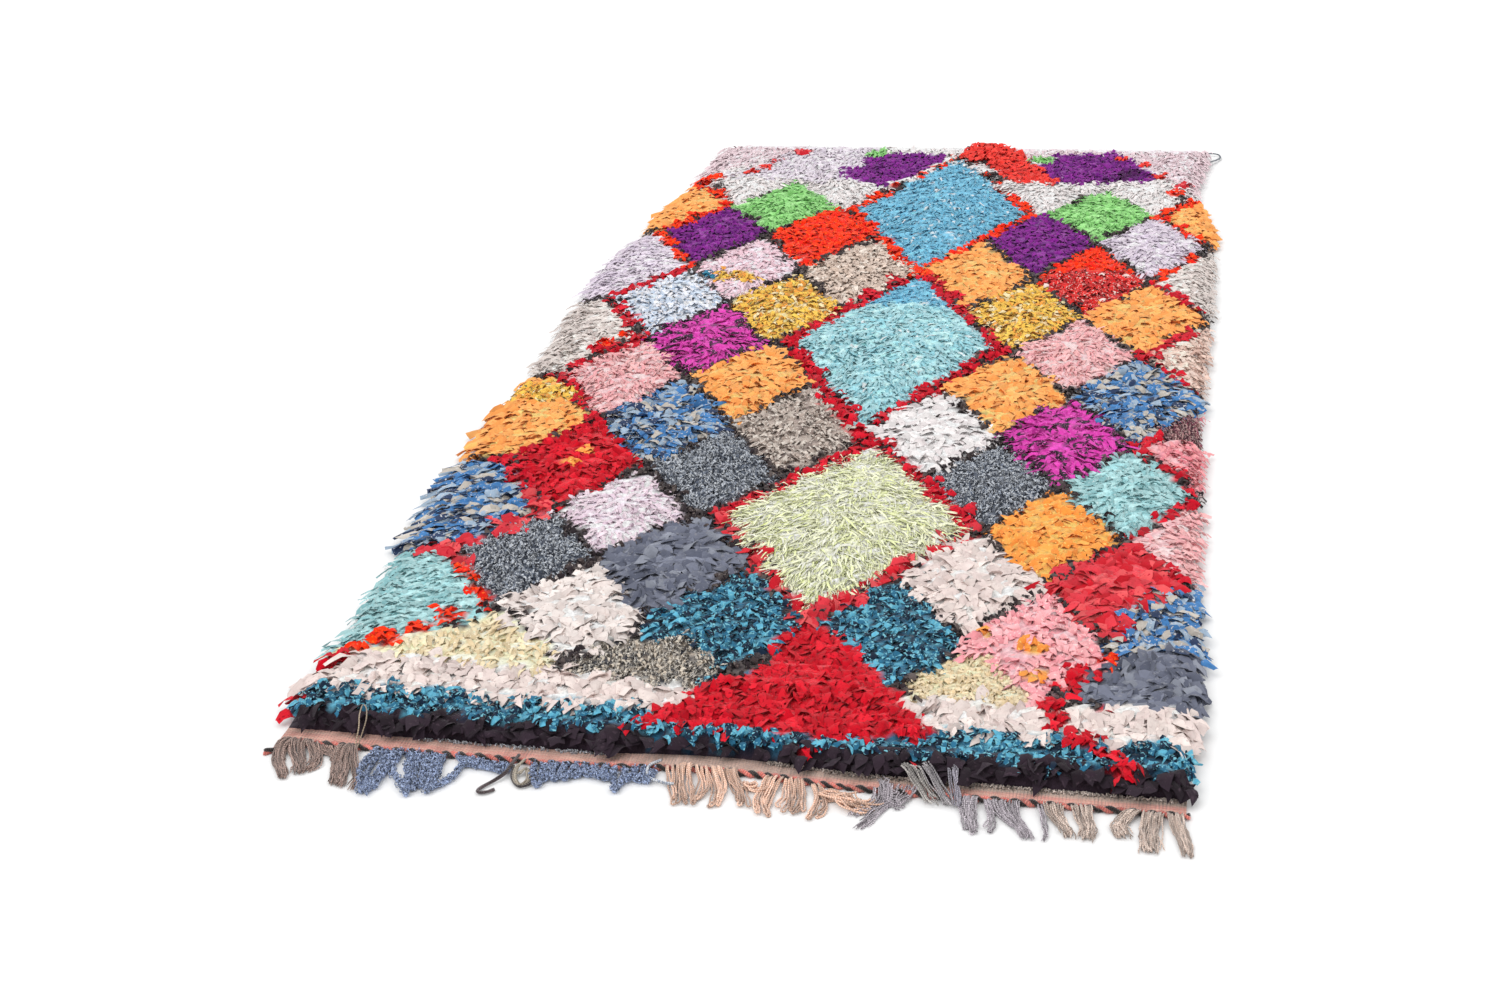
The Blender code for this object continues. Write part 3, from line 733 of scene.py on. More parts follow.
class Shade:
    """A short way to wire the nodes of one material."""

    def __init__(self, name, sheen=0.25, roughness=0.9):
        self.material = bpy.data.materials.new(name)
        self.material.use_nodes = True
        self.tree = self.material.node_tree
        self.shader = self.tree.nodes["Principled BSDF"]
        self.shader.inputs["Roughness"].default_value = roughness
        self.shader.inputs["Sheen Weight"].default_value = sheen
        self.shader.inputs["Sheen Roughness"].default_value = 0.5
        self.shader.inputs["Specular IOR Level"].default_value = 0.15

    def node(self, kind, **settings):
        found = self.tree.nodes.new(kind)
        for name, value in settings.items():
            setattr(found, name, value)
        return found

    def set(self, socket, value):
        if isinstance(value, bpy.types.NodeSocket):
            self.tree.links.new(value, socket)
        elif value is not None:
            socket.default_value = value

    def math(self, operation, first, second=None):
        found = self.node("ShaderNodeMath", operation=operation)
        self.set(found.inputs[0], first)
        self.set(found.inputs[1], second)
        return found.outputs[0]

    def times(self, first, second):
        return self.math("MULTIPLY", first, second)

    def plus(self, first, second):
        return self.math("ADD", first, second)

    def vector(self, operation, first, second):
        found = self.node("ShaderNodeVectorMath", operation=operation)
        self.set(found.inputs[0], first)
        self.set(found.inputs[1], second)
        return found.outputs[0]

    def noise(self, place, scale, detail=2.0):
        found = self.node("ShaderNodeTexNoise")
        self.set(found.inputs["Vector"], place)
        found.inputs["Scale"].default_value = scale
        found.inputs["Detail"].default_value = detail
        return found.outputs["Fac"]

    def spread(self, value, low, high, to_low=0.0, to_high=1.0):
        found = self.node("ShaderNodeMapRange")
        self.set(found.inputs["Value"], value)
        ends = (("From Min", low), ("From Max", high), ("To Min", to_low), ("To Max", to_high))
        for name, number in ends:
            self.set(found.inputs[name], number)
        return found.outputs["Result"]

    def mix(self, share, first, second, blend="MIX"):
        found = self.node("ShaderNodeMix", data_type="RGBA", blend_type=blend)
        self.set(found.inputs["Factor"], share)
        self.set(found.inputs["A"], first)
        self.set(found.inputs["B"], second)
        return found.outputs["Result"]

    def read(self, name, output):
        return self.node("ShaderNodeAttribute", attribute_name=name).outputs[output]

    def grey(self, value):
        found = self.node("ShaderNodeCombineColor")
        for socket in found.inputs:
            self.set(socket, value)
        return found.outputs[0]

    def finish(self, colour, height, roughness=None):
        bump = self.node("ShaderNodeBump")
        bump.inputs["Distance"].default_value = 1.0
        bump.inputs["Strength"].default_value = 1.0
        self.set(bump.inputs["Height"], height)
        self.set(self.shader.inputs["Base Color"], colour)
        self.set(self.shader.inputs["Normal"], bump.outputs["Normal"])
        if roughness is not None:
            self.set(self.shader.inputs["Roughness"], roughness)
        return self.material


def rag_material(name, fleck_size, rib_pitch, root_shade):
    """Torn cloth: knit ribs or threads along it with painted shade in their grooves, creases, printed
    flecks and painted shade towards its root.
    """
    shade = Shade(name, sheen=0.08)
    place = shade.read("rag_place", "Vector")
    parts = shade.node("ShaderNodeSeparateXYZ")
    shade.set(parts.inputs[0], place)
    depth = shade.read("rag_depth", "Fac")
    colour = shade.read("rag_colour", "Color")
    fleck = shade.node("ShaderNodeAttribute", attribute_name="rag_fleck")
    flecks = shade.noise(place, 1.0 / fleck_size, detail=1.0)
    limit = shade.math("SUBTRACT", 0.66, shade.times(fleck.outputs["Alpha"], 0.62))
    mask = shade.spread(shade.math("SUBTRACT", flecks, limit), 0.0, 0.05)
    colour = shade.mix(mask, colour, fleck.outputs["Color"])
    ribs = shade.math("SINE", shade.times(parts.outputs["X"], TURN / rib_pitch))
    creases = shade.noise(shade.vector("MULTIPLY", place, (260.0, 70.0, 1.0)), 1.0, detail=3.0)
    cloud = shade.noise(place, 90.0, detail=2.0)
    # Painted shade: each rag darkens towards its root; the cloud below is the cloth's own uneven tone
    tone = shade.spread(depth, 0.0, 0.45, root_shade, 1.0)
    tone = shade.times(tone, shade.spread(cloud, 0.3, 0.7, 0.90, 1.06))
    # Painted shade in the grooves of the knit ribs, where the bump also dips
    tone = shade.times(tone, shade.spread(ribs, -1.0, 1.0, 0.95, 1.02))
    colour = shade.mix(1.0, colour, shade.grey(tone), "MULTIPLY")
    height = shade.plus(shade.times(ribs, RIB_DEPTH), shade.times(creases, 0.0012))
    rough = shade.spread(cloud, 0.3, 0.7, 0.82, 0.96)
    return shade.finish(colour, height, rough)


def cloth_colours(cloth, rng, count):
    """The colour and the fleck of each rag, drawn from its cloth's shares."""
    colours = np.zeros((count, 4))
    flecks = np.zeros((count, 4))
    settings = bpy.context.scene.rug_colours
    draw = rng.uniform(0.0, 1.0, count)
    tone = 1.0 + rng.normal(0.0, 0.09, count)
    for index in np.unique(cloth):
        name = CLOTH_NAMES[index]
        _, shades, fleck, share = CLOTHS[name]
        held = cloth == index
        chosen = np.zeros((held.sum(), 3)) + np.array(getattr(settings, name))
        limit = shades[0][0]
        for part, colour in shades[1:]:
            chosen[draw[held] > limit] = linear(colour)
            limit += part
        colours[held, :3] = chosen
        flecks[held, :3] = linear(fleck)
        flecks[held, 3] = share
    colours[:, :3] = np.clip(colours[:, :3] * tone[:, None], 0.0, 1.0)
    colours[:, 3] = 1.0
    return colours, flecks


def make_rags(kind, seed, replaced=()):
    """Knots every rag of one kind of cut: ribbons that rise from the weave, bend over and droop."""
    cut = dict(zip(CUT_COLUMNS, CUTS[kind]))
    settings = bpy.context.scene.rug_pile
    rng = np.random.default_rng(seed)
    x, y = knot_places(cut["spacing"] * settings.spacing, rng)
    shift_x, shift_y = rng.normal(0.0, 0.002, x.shape), rng.normal(0.0, 0.0025, x.shape)
    cloth, seams, fall, room = cloth_at(x + shift_x, y + shift_y)
    kinds = np.array([CLOTHS[name][0] for name in CLOTH_NAMES])
    edge_gap, edge_way = edge_distance(x, y)
    held = (kinds[cloth] == kind) & ((edge_way[:, 1] > -0.5) | (edge_gap > 0.004))
    x, y, cloth, seams, fall, room = x[held], y[held], cloth[held], seams[held], fall[held], room[held]
    count = len(x)
    torn = np.array([CUT_SIZES.get(name, 1.0) for name in CLOTH_NAMES])[cloth]
    gap, way = edge_distance(x, y)
    near, far = way[:, 1] < 0.0, way[:, 1] > 0.0
    rim = ease(1.0 - gap / 0.055) * np.where(near, 0.12, 1.0)
    rim *= np.where(way[:, 0] > 0.5, 0.45, 1.0)
    push = np.where(near, 0.2, 0.3 * ease(1.0 - gap / 0.16)) + 1.8 * rim
    push = np.where(far, -0.5, push)
    rim = np.where(far, 0.0, rim)
    lean = fall + 0.55 * np.stack([drift(x, y, 0.09, seed + 1), drift(x, y, 0.09, seed + 2)], axis=1)
    lean += (0.0, -0.30) + 0.42 * rng.normal(size=(count, 2)) + push[:, None] * way
    lean[:, 0] += near * rim * rng.normal(0.0, 6.0, count)
    lean /= np.maximum(np.linalg.norm(lean, axis=1, keepdims=True), 1e-6)
    width = rng.uniform(cut["narrow"], cut["wide"], count) * torn
    reach = rng.uniform(cut["short"], cut["long"], count) * torn * (1.0 + 0.35 * rim)
    reach *= np.where(seams, 0.85, 0.42 + 0.58 * room)
    ragged = 0.70 + 0.22 * drift(x, y, 0.045, 9)
    reach *= np.where(near, ragged + (1.0 - ragged) * ease(gap / 0.04), 1.0)
    reach *= np.where(way[:, 0] > 0.5, 0.62 + 0.38 * ease(gap / 0.05), 1.0)
    surface = pile_height(x, y) * settings.depth
    surface += np.where(cloth == CLOTH_NAMES.index("tomato"), 0.7 * peak_rise(x, y), 0.0)
    surface -= np.where(far, 0.007 * ease(1.0 - gap / 0.045), 0.0)
    top = surface + cut["rise"] * rng.normal(0.0, 0.7, count) * np.where(y > 0.1, 0.6, 0.9)
    top += np.where(seams, 0.0030, 0.0)
    top = np.maximum(top, WEAVE_THICK + LOWEST_TOP)
    root = WEAVE_THICK + 0.55 * (surface - WEAVE_THICK)
    droop = cut["droop"] * rng.uniform(0.1, 1.5, count) + 0.50 * rim * (top - LOWEST_TOP)
    crest = rng.uniform(0.35, 0.65, count)
    sway = rng.normal(0.0, 0.0020, count)
    phase = rng.uniform(0.0, TURN, count)
    twist = rng.normal(0.0, 0.34, count) * np.where(y > 0.1, 0.6, 1.0)
    turn = rng.normal(0.0, 0.55, count)
    curl = rng.normal(0.05, 0.09, count)
    slant = rng.normal(0.0, 0.55, count)
    tip = np.clip(cut["tip"] + rng.uniform(-0.25, 0.20, count), 0.1, 1.0)[:, None]
    t = np.linspace(0.0, 1.0, STATIONS)[None, :]
    out = reach[:, None] * (0.12 * t + 0.88 * t ** 1.25)
    rise = np.sin(0.5 * math.pi * np.minimum(1.0, t / crest[:, None]))
    fall = np.clip((t - crest[:, None]) / (1.0 - crest[:, None]), 0.0, 1.0) ** 1.3
    aside = np.stack([-lean[:, 1], lean[:, 0]], axis=1)
    wave = sway[:, None] * np.sin(4.0 * t + phase[:, None]) * t
    path = np.zeros((count, STATIONS, 3))
    path[:, :, 0] = x[:, None] + out * lean[:, :1] + wave * aside[:, :1]
    path[:, :, 1] = y[:, None] + out * lean[:, 1:] + wave * aside[:, 1:]
    path[:, :, 2] = root[:, None] + (top - root)[:, None] * rise - droop[:, None] * fall
    tangent = np.gradient(path, axis=1)
    tangent /= np.maximum(np.linalg.norm(tangent, axis=-1, keepdims=True), TINY)
    side = np.zeros_like(path)
    side[:, :, 0] = aside[:, :1]
    side[:, :, 1] = aside[:, 1:]
    normal = np.cross(tangent, side)
    angle = (twist[:, None] + turn[:, None] * (t - 0.5))[..., None]
    across = np.cos(angle) * side + np.sin(angle) * normal
    face = np.cross(tangent, across)
    profile = cut["root"] + (1.0 - cut["root"]) * np.minimum(1.0, t / 0.45)
    profile = profile * (1.0 - (1.0 - tip) * np.clip((t - 0.5) / 0.5, 0.0, 1.0))
    spread = np.linspace(-0.5, 0.5, cut["across"])
    wide = (width[:, None] * profile)[:, :, None, None]
    points = path[:, :, None, :] + wide * spread[None, None, :, None] * across[:, :, None, :]
    bowl = 1.0 - (2.0 * spread) ** 2
    points += (wide * curl[:, None, None, None]) * bowl[None, None, :, None] * face[:, :, None, :]
    cut_edge = np.where(np.arange(STATIONS) == STATIONS - 1, 1.0, 0.0)[None, :, None, None]
    cut_slant = cut_edge * slant[:, None, None, None]
    points += cut_slant * wide * spread[None, None, :, None] * tangent[:, :, None, :]
    points += rng.normal(0.0, cut["crumple"], points.shape) * np.minimum(1.0, 1.6 * t)[..., None, None]
    on_weave = edge_distance(points[..., 0], points[..., 1])[0] > -NEAR_BAND
    lowest = np.where(on_weave, WEAVE_THICK + CLEARANCE, CLEARANCE)
    lowest += np.abs(rng.normal(0.0, 0.0004, points.shape[:-1]))
    points[..., 2] = np.maximum(points[..., 2], lowest)
    quads = strip_faces(count, STATIONS, cut["across"])
    thing = new_mesh(cut["piece"], points, quads)
    shape = points.shape[:-1]
    colours, flecks = cloth_colours(cloth, rng, count)
    for name, values in (("rag_colour", colours), ("rag_fleck", flecks)):
        values = np.broadcast_to(values[:, None, None, :], shape + (4,))
        add_values(thing, name, values, "FLOAT_COLOR")
    place = np.zeros(shape + (3,))
    place[..., 0] = wide[..., 0] * spread
    place[..., 1] = (t * (reach + top - root)[:, None])[:, :, None]
    place[..., 2] = np.arange(count)[:, None, None] * 0.37
    add_values(thing, "rag_place", place, "FLOAT_VECTOR")
    depth = np.broadcast_to(t[:, :, None], shape)
    add_values(thing, "rag_depth", depth, "FLOAT")
    add_cells(thing, quads, count, STATIONS, cut["across"])
    rib_pitch = COARSE_RIB if kind in ("jersey", "rags", "nubs") else FINE_RIB
    # How dark the painted shade at the rags' roots is: lighter for the evener cuts
    root_shade = 0.62 + 0.26 * CALM.get(kind, 0.0)
    material = rag_material(cut["piece"], cut["fleck"], rib_pitch, root_shade)
    print(cut["piece"], count, "rags,", 2 * len(quads), "triangles")
    return dress(thing, material, replaced)


def make_base():
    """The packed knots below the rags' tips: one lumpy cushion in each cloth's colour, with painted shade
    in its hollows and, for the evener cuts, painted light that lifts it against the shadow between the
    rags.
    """
    across, along = 102, 216
    rng = np.random.default_rng(71)
    u, v = np.meshgrid(np.linspace(0.0, 1.0, across), np.linspace(0.0, 1.0, along))
    y = NEAR_END + NEAR_BAND + v * (FAR_END - FAR_BAND - NEAR_END - NEAR_BAND)
    left, right = side_line(y, 1), side_line(y, 2)
    x = left + u * (right - left)
    y = bent(x, y)
    rim = (u == 0.0) | (u == 1.0) | (v == 0.0) | (v == 1.0)
    cloth = cloth_at(x, y)[0]
    calm = np.array([CALM.get(CLOTHS[name][0], 0.0) for name in CLOTH_NAMES])[cloth]
    height = (0.80 + 0.14 * calm) * pile_height(x, y) + 0.0015 * drift(x, y, 0.018, 72)
    height += rng.normal(0.0, 0.0012, x.shape) * (1.0 - 0.6 * calm)
    z = np.where(rim, WEAVE_THICK + 0.0003, np.maximum(height, WEAVE_THICK + 0.003))
    points = np.stack([x, y, z], axis=-1)
    quads = strip_faces(1, along, across)
    thing = new_mesh("pile_base", points, quads)
    colours, _ = cloth_colours(cloth.ravel(), rng, cloth.size)
    # Painted light: the knots of the evener cuts are painted lighter, against the shadow in the gaps
    # between their rags
    colours[:, :3] = np.clip(colours[:, :3] * (1.0 + 0.55 * calm.ravel())[:, None], 0.0, 1.0)
    add_values(thing, "rag_colour", colours, "FLOAT_COLOR")
    add_cells(thing, quads, 1, along, across)
    shade = Shade("packed_knots", sheen=0.2)
    place = shade.node("ShaderNodeTexCoord").outputs["Object"]
    lumps = shade.noise(place, 160.0, detail=3.0)
    fine = shade.noise(place, 600.0, detail=2.0)
    # Painted shade: the knots are darker where their lumps dip
    tone = shade.spread(lumps, 0.3, 0.7, 0.60, 0.95)
    colour = shade.mix(1.0, shade.read("rag_colour", "Color"), shade.grey(tone), "MULTIPLY")
    height = shade.plus(shade.times(lumps, 0.004), shade.times(fine, 0.001))
    return dress(thing, shade.finish(colour, height))


def make_weave():
    """The flat woven ground with its bare weft-faced band, one closed sheet."""
    band_rows = int((NEAR_BAND + 0.016) / (BAND_ROW / 2))
    band = NEAR_END + np.arange(band_rows) * BAND_ROW / 2
    rest = np.linspace(band[-1] + 0.02, FAR_END, 40)
    lines = np.concatenate([band, rest])
    across = 180
    u = np.linspace(0.0, 1.0, across)[None, :]
    y = lines[:, None] + 0.0 * u
    left, right = side_line(y, 1), side_line(y, 2)
    x = left + u * (right - left)
    y = bent(x, y) + 0.0008 * drift(x, y, 0.05, 31) * (lines[:, None] > NEAR_END)
    number = np.arange(len(lines))[:, None]
    ribs = np.where(number % 2, 0.0007, 0.0) * (number < band_rows)
    wave = 0.0003 * np.sin(x * TURN / WARP_PITCH + math.pi * (number // 2))
    top = np.stack([x, y, WEAVE_THICK - 0.0002 + ribs + wave * (number < band_rows)], axis=-1)
    low = np.stack([x, y, np.zeros_like(x)], axis=-1)
    stations = len(lines)
    faces = strip_faces(1, stations, across)
    total = stations * across
    front = np.arange(across)
    back = front + (stations - 1) * across
    start = np.arange(stations) * across
    end = start + across - 1
    loop = np.concatenate([front, end[1:], back[::-1][1:], start[::-1][1:-1]])
    following = np.roll(loop, -1)
    walls = np.stack([loop, loop + total, following + total, following], axis=-1)
    quads = np.concatenate([faces, faces[:, ::-1] + total, walls])
    thing = new_mesh("woven_ground", np.concatenate([top.reshape(-1, 3), low.reshape(-1, 3)]), quads)
    shade = Shade("weft_faced_weave", sheen=0.25)
    place = shade.node("ShaderNodeTexCoord").outputs["Object"]
    parts = shade.node("ShaderNodeSeparateXYZ")
    shade.set(parts.inputs[0], place)
    weft = shade.math("SINE", shade.times(parts.outputs["Y"], TURN / BAND_ROW))
    warp = shade.math("SINE", shade.times(parts.outputs["X"], TURN / WARP_PITCH))
    streaks = shade.noise(shade.vector("MULTIPLY", place, (14.0, 420.0, 1.0)), 1.0, detail=3.0)
    cloud = shade.noise(place, 9.0, detail=3.0)
    grain = shade.noise(place, 900.0, detail=2.0)
    salmon = shade.mix(shade.spread(streaks, 0.40, 0.60), *SALMON_WEFT)
    beige = shade.mix(shade.spread(grain, 0.45, 0.60), *BEIGE_WEFT)
    deep = NEAR_END + PATTERN_SHIFT
    upper = shade.spread(parts.outputs["Y"], deep + 0.010, deep + 0.017)
    side = shade.spread(shade.plus(parts.outputs["X"], shade.times(cloud, 0.6)), -0.1, 0.6, 0.35, 1.0)
    colour = shade.mix(shade.times(upper, side), salmon, beige)
    # Painted shadow: the weave's top turns near black under the pile, from a little past the band
    under_pile_shade = shade.spread(parts.outputs["Y"], deep + 0.030, deep + 0.045)
    under_pile_shade = shade.times(under_pile_shade, shade.spread(parts.outputs["Z"], 0.0008, 0.0018))
    colour = shade.mix(under_pile_shade, colour, SHADE_UNDER_PILE)
    far = FAR_END + PATTERN_SHIFT - FAR_BAND
    edge = shade.spread(parts.outputs["Y"], far - 0.012, far - 0.004)
    colour = shade.mix(edge, colour, FAR_EDGE)
    # Painted shade between the weft rows and along the warp, times the yarn's own grain
    threads = shade.spread(weft, -1.0, 0.2, 0.66, 1.0)
    threads = shade.times(threads, shade.spread(warp, -1.0, 0.0, 0.86, 1.0))
    threads = shade.times(threads, shade.spread(grain, 0.2, 0.8, 0.80, 1.12))
    colour = shade.mix(1.0, colour, shade.grey(threads), "MULTIPLY")
    height = shade.plus(shade.times(shade.times(weft, warp), 0.00025), shade.times(grain, 0.0004))
    dress(thing, shade.finish(colour, height), ("ground_weave",))
    return thing


# Where a tube's wall and its two caps lie in its cell of the UV map, as shares of the cell
WALL_LEFT, WALL_WIDTH = 0.08, 0.80
WALL_LOW, WALL_HEIGHT = 0.10, 0.72
CAP_LEFT, CAP_LOW, CAP_RADIUS, CAP_GAP = 0.92, 0.90, 0.025, 0.5


def yarn_material(name, colour, fleck, ply_pitch=0.0032, fleck_share=0.35, variety=0.5):
    """Spun yarn: plies wound round it, fluff, flecks of a second tone, and strands that differ."""
    shade = Shade(name, sheen=0.35)
    place = shade.read("yarn_place", "Vector")
    parts = shade.node("ShaderNodeSeparateXYZ")
    shade.set(parts.inputs[0], place)
    wound = shade.plus(shade.times(parts.outputs["Y"], TURN / ply_pitch), parts.outputs["X"])
    plies = shade.math("SINE", wound)
    speckle = shade.noise(shade.vector("MULTIPLY", place, (0.6, 700.0, 3.0)), 1.0, detail=2.0)
    cloud = shade.noise(shade.vector("MULTIPLY", place, (0.3, 60.0, 7.0)), 1.0, detail=2.0)
    mask = shade.spread(speckle, 0.62 - 0.3 * fleck_share, 0.72 - 0.3 * fleck_share)
    tint = shade.mix(mask, tuple(linear(colour)) + (1.0,), tuple(linear(fleck)) + (1.0,))
    # Painted shade in the grooves between the plies, times the yarn's own uneven tone
    tone = shade.spread(plies, -1.0, 1.0, 0.62, 1.08)
    tone = shade.times(tone, shade.spread(cloud, 0.3, 0.7, 0.82, 1.12))
    own = shade.noise(shade.vector("MULTIPLY", place, (0.0, 9.0, 11.3)), 1.0, detail=0.0)
    own = shade.spread(own, 0.32, 0.68, 1.0 - variety, 1.0 + 0.35 * variety)
    tint = shade.mix(1.0, tint, shade.grey(shade.times(tone, own)), "MULTIPLY")
    height = shade.plus(shade.times(plies, 0.0003), shade.times(speckle, 0.0006))
    return shade.finish(tint, height)


def yarn_piece(name, groups, material, replaced=()):
    """One mesh of tubes. Each group is paths, radii, sides and how flat they lie."""
    all_points, all_quads, places, uvs = [], [], [], []
    offset = 0
    tubes = sum(len(paths) for paths, _, _, _ in groups)
    side = math.ceil(math.sqrt(tubes))
    number = 0
    for paths, radii, sides, flat in groups:
        paths = np.asarray(paths, float)
        count, stations, _ = paths.shape
        points, quads = sweep(paths, radii, sides, flat)
        points[..., 2] = np.maximum(points[..., 2], 0.0003)
        run = np.linalg.norm(np.diff(paths, axis=1), axis=-1).cumsum(axis=1)
        run = np.concatenate([np.zeros((count, 1)), run], axis=1)
        place = np.zeros(points.shape)
        angle = TURN * np.arange(sides) / sides
        place[..., 0] = angle[None, None, :]
        place[..., 1] = run[:, :, None]
        place[..., 2] = (number + np.arange(count))[:, None, None] * 0.71
        places.append(place.reshape(-1, 3))
        cell = number + np.arange(count)
        tube = quads[:, 0] // (stations * sides)
        station = (quads % (stations * sides)) // sides
        ring = (quads % (stations * sides)) % sides
        wraps = (ring.max(axis=1) - ring.min(axis=1) == sides - 1) & (sides > 2)
        wall = station.max(axis=1) != station.min(axis=1)
        ring = np.where((wraps & wall)[:, None] & (ring == 0), sides, ring)
        column, row = (cell[tube] % side)[:, None], (cell[tube] // side)[:, None]
        u = column + WALL_LEFT + WALL_WIDTH * ring / sides
        v = row + WALL_LOW + WALL_HEIGHT * station / (stations - 1)
        around = TURN * ring / sides
        cap_u = column + CAP_LEFT + CAP_RADIUS * np.cos(around)
        cap_v = row + CAP_LOW + CAP_RADIUS * np.sin(around)
        cap_v = cap_v - np.where(station > 0, CAP_GAP, 0.0)
        u = np.where(wall[:, None], u, cap_u)
        v = np.where(wall[:, None], v, cap_v)
        uvs.append(np.stack([u, v], axis=-1).reshape(-1, 2) / side)
        all_points.append(points.reshape(-1, 3))
        all_quads.append(quads + offset)
        offset += count * stations * sides
        number += count
    thing = new_mesh(name, np.concatenate(all_points), np.concatenate(all_quads))
    add_values(thing, "yarn_place", np.concatenate(places), "FLOAT_VECTOR")
    layer = thing.data.uv_layers.new(name="OFBake")
    layer.data.foreach_set("uv", np.concatenate(uvs).astype(np.float32).ravel())
    print(name, tubes, "yarns,", 2 * len(thing.data.polygons), "triangles")
    return dress(thing, material, replaced)


def cord_line(x, start):
    """The middle of the twined cord: along the weave's end, drooping at its loose left end."""
    droop = CORD_DROOP * ease((CORD_DROOP_START - x) / (CORD_DROOP_START - start))
    return bent(x, NEAR_END) - CORD_OFFSET - droop


def make_cord():
    """The twined cord: two strands, black and salmon, wound round each other."""
    start = side_line(NEAR_END, 1) - CORD_PAST[0]
    end = side_line(NEAR_END, 2) + CORD_PAST[1]
    turns = (end - start) / CORD_PITCH
    stations = int(turns * CORD_TURN_STATIONS)
    x = np.linspace(start, end, stations)
    uneven = 0.7 * drift(x, 0.0 * x, 0.10, 41)
    angle = TURN * turns * np.linspace(0.0, 1.0, stations) + uneven
    lobes = 1.0 + 0.18 * drift(x, 0.0 * x, 0.03, 42)
    for name, phase, colour, fleck in (
        ("twined_black", 0.0, (48, 40, 40), (86, 78, 72)),
        ("twined_salmon", math.pi, (238, 128, 116), (246, 172, 158)),
    ):
        path = np.stack([
            x,
            cord_line(x, start) + CORD_SWING[0] * np.cos(angle + phase),
            CORD_HEIGHT + CORD_SWING[1] * np.sin(angle + phase),
        ], axis=-1)
        material = yarn_material(name, colour, fleck, 0.0026)
        replaced = ("twined_edge",) if phase == 0.0 else ()
        strand = (path[None], (CORD_RADIUS * lobes)[None], 6, 0.85)
        yarn_piece(name, [strand], material, replaced)


def bundle(rng, root, root_spread, tip, tip_spread, yarns, bow=0.0, loops=False, over=0.0, stations=15):
    """Paths of one bundle of loose warp yarns on the floor, cut at the tip or turned back in loops."""
    t = np.linspace(0.0, 1.0, stations)[None, :]
    order = np.linspace(-0.5, 0.5, yarns) + rng.normal(0.0, 0.06, yarns)
    shuffled = rng.permutation(order) * 0.45 + order * 0.75
    root_x = root[0] + root_spread * order
    tip_x = tip[0] + tip_spread * shuffled
    long = rng.uniform(0.78, 1.0, yarns)
    x = root_x[:, None] + (tip_x - root_x)[:, None] * ease(t) * long[:, None] + bow * np.sin(math.pi * t)
    y = root[1] + (tip[1] - root[1]) * long[:, None] * t
    free = np.sqrt(t)
    for waves, size in ((1.4, 0.0016), (4.6, 0.0007)):
        phase = rng.uniform(0.0, TURN, (yarns, 1))
        rate = waves * rng.uniform(0.7, 1.4, (yarns, 1))
        x += size * free * np.sin(TURN * rate * t + phase)
    hump = 0.004 * np.exp(-((t - 0.12) / 0.16) ** 2) + 0.30 * over * (1.0 - ease(t / 0.45))
    layer = rng.uniform(0.0, 1.0, (yarns, 1))
    ripple = 0.0012 * (1.0 + np.sin(TURN * (2.2 * t + layer * 7.0)))
    z = 0.0012 + hump + 0.0045 * layer * (1.0 - 0.6 * t) + ripple * free
    paths = np.stack([x, y, z], axis=-1)
    if loops:
        back = paths[:, ::-1].copy()
        gap = rng.uniform(0.0030, 0.0055, (yarns, 1)) * np.sin(math.pi * 0.5 * t + 0.2)
        back[..., 0] += gap[:, ::-1]
        turn = (paths[:, -1] + back[:, 0]) / 2
        turn[:, 1] -= rng.uniform(0.001, 0.0025, yarns)
        paths = np.concatenate([paths, turn[:, None], back], axis=1)
    return paths


# The bundles of the fringe: root x, root spread, tip x, tip y, tip spread, yarns, sideways bow,
# looped or cut, and how far in over the weave it starts
BROWN_BUNDLES = (
    (-0.558, 0.020, -0.533, -1.397, 0.012, 30, -0.011, False, 0.006),
    (-0.543, 0.022, -0.514, -1.388, 0.020, 24, -0.002, False, 0.006),
    (-0.527, 0.020, -0.508, -1.376, 0.014, 18, 0.009, False, 0.004),
    (-0.508, 0.030, -0.482, -1.346, 0.016, 8, 0.0, True, 0.0),
    (-0.482, 0.014, -0.467, -1.398, 0.012, 20, -0.004, False, 0.004),
    (-0.474, 0.014, -0.456, -1.402, 0.014, 20, 0.0, False, 0.004),
    (-0.468, 0.008, -0.436, -1.408, 0.012, 14, 0.002, False, 0.004),
)
TAN_BUNDLES = (
    (-0.054, 0.014, -0.037, -1.378, 0.006, 3, 0.0, True, 0.006),
    (-0.038, 0.016, -0.020, -1.379, 0.014, 5, -0.004, True, 0.009),
    (-0.020, 0.012, -0.012, -1.377, 0.008, 3, 0.006, True, 0.006),
    (-0.004, 0.018, 0.012, -1.374, 0.012, 6, 0.006, True, 0.007),
    (0.018, 0.014, 0.045, -1.367, 0.012, 6, 0.0, True, 0.006),
    (0.074, 0.020, 0.072, -1.382, 0.018, 7, -0.006, True, 0.002),
    (0.100, 0.018, 0.106, -1.374, 0.024, 7, 0.002, True, 0.004),
    (0.127, 0.010, 0.134, -1.383, 0.020, 4, 0.007, True, 0.0),
)
